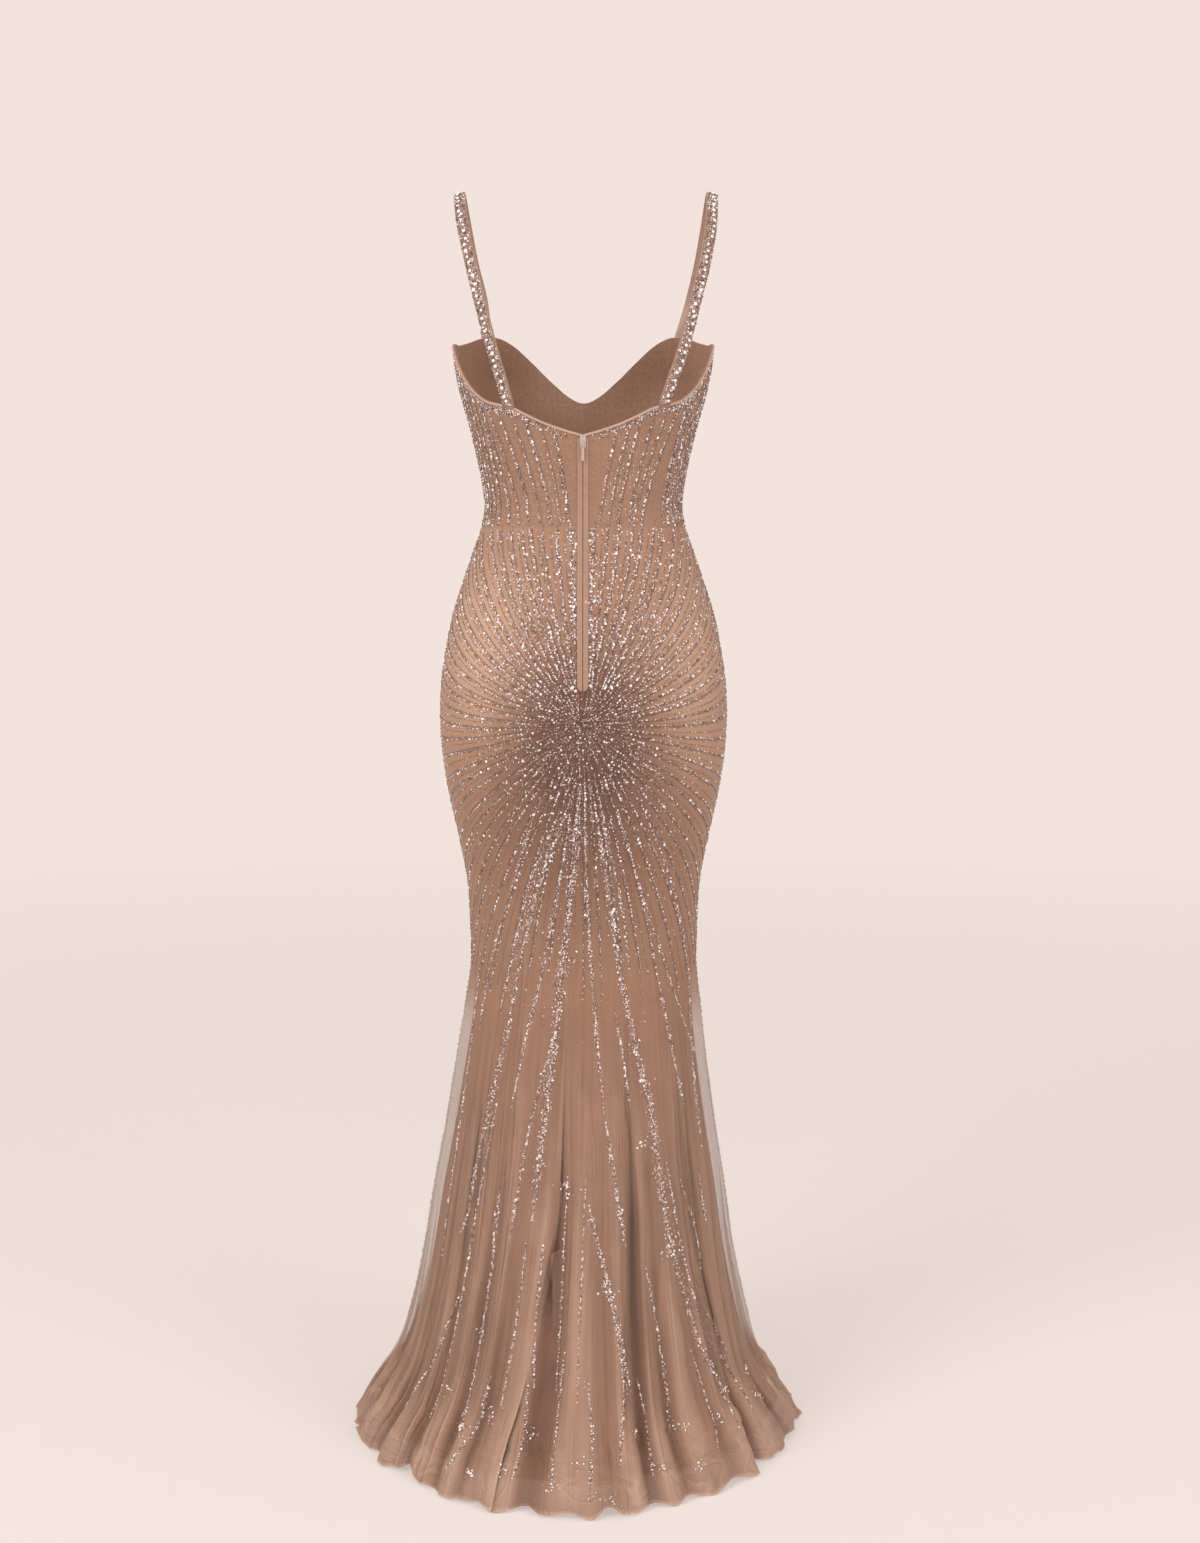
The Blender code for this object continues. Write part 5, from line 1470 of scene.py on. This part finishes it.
def beadShapes():
    # a four-sided bead of 8 triangles, and a six-sided cut stone of 22 with a flat table
    turn = np.arange(6) * pi / 3
    ring = np.stack((np.cos(turn), np.sin(turn), np.zeros(6)), axis=1) / 2
    square = np.array(((0.5, 0, 0), (0, 0.5, 0), (-0.5, 0, 0), (0, -0.5, 0), (0, 0, 0.42), (0, 0, -0.3)))
    k = np.arange(4)
    m = (k + 1) % 4
    squareFaces = np.concatenate((np.stack((k, m, np.full(4, 4)), 1), np.stack((m, k, np.full(4, 5)), 1)))
    cut = np.concatenate((ring + (0, 0, 0.05), ring * 0.55 + (0, 0, 0.32), [(0, 0, -0.2)]))
    k = np.arange(6)
    m = (k + 1) % 6
    cutFaces = np.concatenate((
        np.stack((k, m, 6 + m), 1), np.stack((k, 6 + m, 6 + k), 1), np.stack((m, k, np.full(6, 12)), 1),
        np.stack((np.full(4, 6), np.arange(7, 11), np.arange(8, 12)), 1),
    ))
    return (square, squareFaces), (cut, cutFaces)


beadForms = beadShapes()


def beadMesh(name, place, normal, size, tone, stone, random):
    # one small closed form at each place, with its axis tilted a little from the cloth's normal
    tilted = unit(normal + random.normal(0.0, beadLook["tilt"], normal.shape) * 0.6)
    side = unit(np.cross(tilted, random.normal(size=normal.shape)))
    up = np.cross(tilted, side)
    axes = np.stack((side, up, tilted), axis=1) * size[:, None, None]
    seat = place + normal * (size * beadLook["sink"])[:, None]
    points, faces, tones, count = [], [], [], 0
    for form, (shape, corners) in enumerate(beadForms):
        chosen = np.flatnonzero((stone > 0.5) == bool(form))
        made = seat[chosen][:, None, :] + np.einsum("kc,ncd->nkd", shape, axes[chosen])
        first = count + len(shape) * np.arange(len(chosen))
        faces.append((corners[None] + first[:, None, None]).reshape(-1, 3))
        points.append(made.reshape(-1, 3))
        tones.append(np.repeat(tone[chosen], len(shape)))
        count += len(points[-1])
    mesh = meshFrom(name, np.concatenate(points), np.concatenate(faces))
    addAttribute(mesh, "beadTone", np.concatenate(tones))
    return mesh


def addBeads(name, bag):
    rows = np.concatenate(bag.rows)
    place, normal = np.zeros((len(rows), 3)), np.zeros((len(rows), 3))
    for share in np.unique(rows[:, 2]):
        chosen = rows[:, 2] == share
        place[chosen] = clothPoint(rows[chosen, 0], rows[chosen, 1], 1.0, share)
        normal[chosen] = clothNormal(rows[chosen, 0], rows[chosen, 1], 1.0, share)
    mesh = beadMesh(name, place, normal, rows[:, 3], rows[:, 4], rows[:, 5], bag.random)
    print(name, len(rows), "beads,", len(mesh.polygons), "triangles")
    return addPiece(name, mesh, beadGlass)


# By a ray's angle from straight down, or by the distance from the focus in metres
rayBeads = {
    "bright": ((0, 60, 95, 125, 150, 180), (0.30, 0.32, 0.42, 0.58, 0.70, 0.68)),
    "width": ((0, 60, 95, 125, 145, 180), (0.0050, 0.0044, 0.0040, 0.0054, 0.0080, 0.0090)),
    "scale": ((0.006, 0.020, 0.045, 0.075), (0.50, 0.72, 0.90, 1.0)),
    # mostly bronze beads round the focus, more so below it
    "bronze": ((0.012, 0.05, 0.085), (0.20, 0.16, 0.0)),
    "bronzeBelow": ((100, 150), (1, 0.5)),
    "aside": 0.0019,  # how far the close file lies beside its dark line
    # share of the beads that are kept: at a ray's far end, in a band near the focus, in the wide
    # rows and in the widest ones, which only the rays above 118 degrees have
    "farKeep": ((0.0, 0.24, 0.34), (1.0, 1.0, 0.6)),
    "bandKeep": ((0.02, 0.035, 0.05), (0.0, 0.5, 0.9)),
    "wideKeep": ((0.0, 0.045, 0.07), (0.0, 0.0, 0.75)),
    "widestKeep": ((0.0, 0.05, 0.08), (0.0, 0.0, 0.8)),
    "widestFrom": 118,
    # the rows between: brightness above the focus or at its sides, and elsewhere
    "betweenBright": (0.34, 0.06),
}


def hipBeads(bag, rayList, betweenList, centre, full):
    # each ray has a close file of beads beside its dark line and others strewn wider; full is
    # their share. The bands of beads near the focus narrow towards it.
    for start, reach, angles, rowStations in rayList:
        steep = abs(start)
        spacing = np.radians(sunburst["pitch"]) * reach
        scale = np.interp(reach, *rayBeads["scale"])
        shift = rayBeads["aside"] * np.clip((reach - sunburst["second"] + 0.010) / 0.014, 0.0, 1.0)
        far = np.clip((reach - 0.03) / 0.2, 0.0, 1.0)
        bright = np.interp(steep, *rayBeads["bright"]) * (1 - 0.25 * far)
        bright = bright - np.interp(reach, *rayBeads["bronze"]) * np.interp(steep, *rayBeads["bronzeBelow"])
        width = np.interp(steep, *rayBeads["width"])
        thin = np.interp(reach, *rayBeads["farKeep"])
        bag.line(angles, rowStations, 0.0022, np.minimum(0.0007, 0.2 * spacing), bright, stones=0.012,
                 keep=thin, scale=scale, shift=shift)
        # the band's own beads, to both sides of its middle file
        near = reach < sunburst["second"] + 0.004
        if reach[0] < 0.02 and near.sum() > 6:
            bag.line(angles[near], rowStations[near], 0.0019, 0.66 * spacing[near], bright, stones=0.03,
                     keep=np.interp(reach[near], *rayBeads["bandKeep"]), scale=0.95 * scale[near])
        wideKeep, widestKeep = (np.interp(reach, *rayBeads[label]) for label in ("wideKeep", "widestKeep"))
        bag.line(angles, rowStations, 0.0026 / full, np.minimum(0.62 * width, 0.42 * spacing), 0.9 * bright,
                 keep=wideKeep * thin, stones=0.02, scale=0.9, shift=1.25 * shift)
        if steep > rayBeads["widestFrom"]:
            bag.line(angles, rowStations, 0.0026 / full, np.minimum(width, 0.52 * spacing), bright,
                     keep=widestKeep, stones=0.06, scale=0.95, shift=shift)
    for start, reach, angles, rowStations in betweenList:
        above = abs(start) > 90
        bright = rayBeads["betweenBright"][0 if abs(start) > 58.0 else 1]
        bag.line(angles, rowStations, (0.0024 if above else 0.0030) / full, 0.0010, bright, keep=0.85,
                 stones=0.01, scale=0.85 if above else beadLook["fine"])
    for x, height, count in hipSparkles:
        station = float(stationAt(height * 0.001))
        bag.cluster(spotAt(acrossBack, x, station) + centre, station, int(count * full), 0.012)


def seamBeads(bag, top, end, spacing=0.0030, creaseShare=1.0):
    # a close dark file down each side seam
    rows = np.arange(top, end, 0.002)
    for side in (-1, 1):
        for away in (1.2, -0.6):
            bag.line(np.full(len(rows), side * (90.0 - away)), rows, spacing, 0.0016, 0.04, creaseShare,
                     keep=0.8, stones=0.0)


def zipSideBeads(bag):
    # close files on each side of the zip's strips, from the waist to the strips' end
    rows = np.arange(waistStation + 0.002, zipEndStation + 0.004, 0.002)
    metre = degreesFor(1.0, 0.0, rows)
    for side in (-1, 1):
        for away, spacing, keep in ((0.0086, 0.0022, 0.95), (0.0108, 0.0024, 0.85), (0.0136, 0.0030, 0.7)):
            bag.line(side * away * metre, rows, spacing, 0.0020, 0.5, keep=keep, stones=0.04)


# bright patches: x and height in millimetres, number of beads
hipSparkles = (
    (-98, 941, 30), (-60, 985, 16), (70, 990, 16), (48, 935, 14), (-52, 920, 18), (-40, 1030, 16),
    (22, 1022, 18), (88, 960, 10), (95, 905, 10), (-20, 900, 12), (-72, 1000, 12), (84, 1005, 12),
    (-28, 1040, 14), (16, 985, 12), (-30, 958, 12), (40, 1010, 12), (-16, 845, 14), (14, 848, 10),
    (38, 795, 18), (56, 775, 14), (-42, 800, 12), (10, 815, 10), (-78, 868, 10), (-30, 770, 10),
    (74, 790, 10), (-92, 905, 10), (60, 1030, 10), (-66, 955, 12), (-34, 846, 10), (30, 836, 8),
    (-11, 824, 8), (-60, 838, 8), (66, 848, 8), (44, 868, 10), (-6, 838, 6),
)
hipBagBack = BeadBag(21)
hipBeads(hipBagBack, backRays, backBetween, 0.0, 1.0)
zipSideBeads(hipBagBack)
seamBeads(hipBagBack, waistStation + 0.002, float(stationAt(0.62)))
addBeads("beads_hips_back", hipBagBack)
hipBagFront = BeadBag(22)
hipBeads(hipBagFront, frontRays, frontBetween, 180.0, 0.6)
addBeads("beads_hips_front", hipBagFront)

# x and height in millimetres, and number of beads
sparkles = (
    (-134, 60, 30), (71, 423, 26), (98, 236, 26), (70, 352, 16), (-19, 310, 18), (30, 202, 16), (-33, 21, 16),
    (10, 18, 12), (32, 12, 10), (60, 455, 14), (-12, 560, 10), (-116, 150, 12), (154, 86, 12), (112, 60, 16),
    (90, 30, 12), (-60, 60, 12), (-150, 92, 16), (-172, 70, 10), (58, 64, 12), (148, 62, 12), (186, 88, 10),
    (200, 60, 10), (-100, 76, 14), (-84, 34, 12), (128, 26, 10), (-4, 44, 10), (-120, 24, 10),
)


def skirtBeads(bag, lines, table, shift, mirror, full):
    # the streaks: a fine file along the middle and others strewn wider, in uneven density
    for (width, bright, _), (angles, rowStations, half) in zip(streaks, lines):
        for number in range(2 + width // 2):
            share = 0.12 if number == 0 else 0.45 + 0.22 * number
            ends = np.concatenate(([0.4], bag.random.uniform(0.5, 1.0, 9), [0.4]))
            bag.line(angles, rowStations, 0.0021 / full, 2 * share * half, bright + 0.04, keep=ends,
                     stones=0.015, scale=0.66 + 0.3 * bag.random.uniform(size=8))
    for x, height, count in sparkles:
        station = float(stationAt(height * 0.001))
        bag.cluster(spotAt(table, x * mirror, station) + shift, station, int(1.5 * count * full), 0.013, 1.1)


skirtBagBack = BeadBag(31)
skirtBeads(skirtBagBack, backStreaks, acrossBack, 0.0, 1, 1.0)
seamBeads(skirtBagBack, float(stationAt(0.62)), float(stationAt(0.12)), 0.0060)
addBeads("beads_skirt_back", skirtBagBack)
skirtBagFront = BeadBag(32)
skirtBeads(skirtBagFront, frontStreaks, acrossFront, 180.0, -1, 0.55)
addBeads("beads_skirt_front", skirtBagFront)


bodiceBeadRows = {
    "frontShare": 0.7,
    # spacing, width, brightness, share kept, share of stones: the file of each line, and those of wide lines
    "files": ((0.0023, 0.0012, 0.32, 1.0, 0.02), (0.0022, 0.0038, 0.26, 0.9, 0.015),
              (0.0026, 0.0052, 0.22, 0.75, 0.015)),
    "bandDepths": (0.0048, 0.0066, 0.0086, 0.0106),  # of the rows under the bindings
    # degrees from the centre back, share of the band's beads
    "bandKeep": ((5.0, 14.0, 30.0, 90.0, 180.0), (0.1, 0.45, 1.0, 1.0, 0.7)),
    "bandStep": 0.42,  # degrees
    "bandSize": (0.0015, 0.0025),
    "bandBright": 0.42,
}


def bodiceBeads(bag):
    # files of beads along the bodice's lines, then rows under the bindings
    for angles, rowStations, files in bodiceRowPaths:
        full = 1.0 if abs(angles[0]) < 90 else bodiceBeadRows["frontShare"]
        for spacing, width, bright, keep, stones in bodiceBeadRows["files"][:3 if files > 1 else 1]:
            bag.line(angles, rowStations, spacing / full, width, bright, 0.0, keep=keep, stones=stones)
    seamBeads(bag, float(topStation(90.0)) + 0.010, waistStation - 0.002, creaseShare=0.0)
    # the band under the bindings, which thins towards the centre back
    band = np.arange(-176.0, 176.0, bodiceBeadRows["bandStep"])
    turned = np.where(band < -90.0, band + 360.0, band)
    full = np.interp(np.abs(band), *bodiceBeadRows["bandKeep"])
    for depth in bodiceBeadRows["bandDepths"]:
        jitter = bag.random.uniform(-0.0008, 0.0008, len(band))
        held = bag.random.uniform(size=len(band)) < full * (0.62 if depth > 0.009 else 0.9)
        spots = (turned + bag.random.uniform(-0.2, 0.2, len(band)))[held]
        size = bag.random.uniform(*bodiceBeadRows["bandSize"], len(spots))
        tone = bag.tones(len(spots), bodiceBeadRows["bandBright"])
        bag.drop(spots, topStation(spots) + depth + jitter[held], 0.0, size, tone)


bodiceBag = BeadBag(41)
bodiceBeads(bodiceBag)
addBeads("beads_bodice", bodiceBag)


strapBeadRows = {
    "seed": 51,
    "files": (-0.84, -0.52, -0.20, 0.12, 0.44, 0.72),  # places across, from -1 to 1
    "spacing": 0.0021,
    "size": (0.0016, 0.0028),
    "stoneSpacing": 0.0082,
    "stoneSize": (0.0036, 0.0052),
    "stonePlace": 0.16,
    "stoneRaised": 0.0005,
    "darkShare": 0.34,
    "clearShare": 0.22,
}


def strapBeads():
    # close files over nearly the whole width, and cut stones along the middle
    random = np.random.default_rng(strapBeadRows["seed"])
    parts = []
    for label in ("left", "right"):
        count = int(strapLength / strapBeadRows["spacing"])
        for across in strapBeadRows["files"]:
            along = (np.arange(count) + random.uniform(-0.3, 0.3, count)) / count
            share = across + random.uniform(-0.14, 0.14, count)
            place, normal, _ = strapPoints(label, np.clip(along, 0.003, 0.997), -share)
            size = random.uniform(*strapBeadRows["size"], count)
            kind = random.uniform(size=count)
            tone = np.where(kind < strapBeadRows["darkShare"], random.uniform(0, 0.3, count),
                            random.uniform(0.32, 0.7, count))
            clear = kind > 1 - strapBeadRows["clearShare"]
            tone = np.where(clear, random.uniform(0.84, 1.0, count), tone)
            parts.append((place, normal, size, tone, np.zeros(count)))
        count = int(strapLength / strapBeadRows["stoneSpacing"])
        along = (np.arange(count) + random.uniform(-0.2, 0.2, count) + 0.5) / count
        across = strapBeadRows["stonePlace"] - random.uniform(-0.28, 0.28, count)
        place, normal, _ = strapPoints(label, along, across)
        size = random.uniform(*strapBeadRows["stoneSize"], count)
        parts.append((place + normal * strapBeadRows["stoneRaised"], normal, size,
                      random.uniform(0.88, 1.0, count), np.ones(count)))
    place, normal, size, tone, stone = (np.concatenate(column) for column in zip(*parts))
    mesh = beadMesh("beads_straps", place, normal, size, tone, stone, random)
    return addPiece("beads_straps", mesh, beadGlass)


strapBeads()
print("beads sewn on")

# Floor, light and camera
studio = {
    "background": (0.885, 0.772, 0.712),
    "floor": (0.41, 0.412, 0.410),
    "floorGlow": 0.52,  # share of the backdrop's brightness that the floor has of itself
    "floorRadius": 7.0,
    "worldLight": 0.76,
    "lightSize": (2.6, 3.0),
    "lightAim": (0.0, 0.0, -0.75),
    # place, watts, colour
    "key_light": ((-3.2, -3.6, 1.7), 152.0, (1.0, 0.97, 0.94)),
    "fill_light": ((3.2, -3.0, 0.6), 76.0, (1.0, 0.98, 0.97)),
    "cameraPlace": (0.0198, -2.9, -0.417),
    "cameraDown": 5.24,  # degrees below level
    "cameraLens": 56.4,
}


def studioFloor():
    # a flat disc of rings, which fades out towards its edge
    turn = np.linspace(0, 2 * pi, 129)[:-1]
    rings = np.array((0.6, 1.5, 3.0, studio["floorRadius"]))
    points = np.stack((rings[:, None] * np.cos(turn), rings[:, None] * np.sin(turn),
                       np.full((4, 128), -gownForm["shoulderHeight"])), axis=-1).reshape(-1, 3)
    points = np.append(points, [(0.0, 0.0, -gownForm["shoulderHeight"])], axis=0)
    k = np.arange(128)
    m = (k + 1) % 128
    quads = np.concatenate([np.stack((a + k, a + 128 + k, a + 128 + m, a + m), 1) for a in (0, 128, 256)])
    mesh = meshFrom("studio_floor", points, quads, np.stack((k, m, np.full(128, 512)), 1))
    nodes = MaterialNodes("studio_floor", roughness=0.9, specular=0.1)
    place = nodes.objectPlace()
    spread = nodes.add("ShaderNodeVectorMath", {0: place}, operation="LENGTH").outputs["Value"]
    noise = nodes.noise(place, 60.0, detail=4.0)
    light, dark = ([share * part for part in studio["floor"]] + [1.0] for share in (1.0, 0.96))
    nodes.give(nodes.shader, {
        "Base Color": nodes.mix(noise, light, dark),
        "Emission Color": (*studio["background"], 1.0),
        "Emission Strength": studio["floorGlow"],
        "Alpha": nodes.over(nodes.minus(studio["floorRadius"] * 0.85, spread), 4.0, clamp=True),
    })
    mesh.materials.append(nodes.material)
    floor = bpy.data.objects.new("studio_floor", mesh)
    bpy.context.scene.collection.objects.link(floor)


def areaLight(name):
    # a soft light turned towards the gown's middle
    place, power, colour = studio[name]
    light = bpy.data.lights.new(name, "AREA")
    light.shape = "RECTANGLE"
    light.size, light.size_y = studio["lightSize"]
    light.energy = power
    light.color = colour
    lamp = bpy.data.objects.new(name, light)
    lamp.location = place
    lamp.rotation_euler = (Vector(studio["lightAim"]) - Vector(place)).to_track_quat("-Z", "Y").to_euler()
    bpy.context.scene.collection.objects.link(lamp)


studioFloor()
areaLight("key_light")
areaLight("fill_light")
world = bpy.data.worlds.new("studio_world")
bpy.context.scene.world = world
world.use_nodes = True
# the backdrop shows at full strength and lights the gown a little less
glow = world.node_tree.nodes["Background"]
glow.inputs[0].default_value = (*studio["background"], 1.0)
seen = world.node_tree.nodes.new("ShaderNodeLightPath")
strength = world.node_tree.nodes.new("ShaderNodeMapRange")
strength.inputs["To Min"].default_value = studio["worldLight"]
world.node_tree.links.new(seen.outputs["Is Camera Ray"], strength.inputs["Value"])
world.node_tree.links.new(strength.outputs[0], glow.inputs[1])
bpy.context.scene.view_settings.view_transform = "Standard"

camera = bpy.data.objects.new("camera", bpy.data.cameras.new("camera"))
camera.location = studio["cameraPlace"]
camera.rotation_euler = (radians(90.0 - studio["cameraDown"]), 0.0, 0.0)
camera.data.lens = studio["cameraLens"]
camera.data.sensor_width = 36.0
bpy.context.scene.collection.objects.link(camera)
bpy.context.scene.camera = camera

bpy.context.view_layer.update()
# a face of n corners is n - 2 triangles
counts = {item.name: len(item.data.loops) - 2 * len(item.data.polygons)
          for item in bpy.context.scene.objects if item.type == "MESH"}
print("triangles", sum(counts.values()), counts)
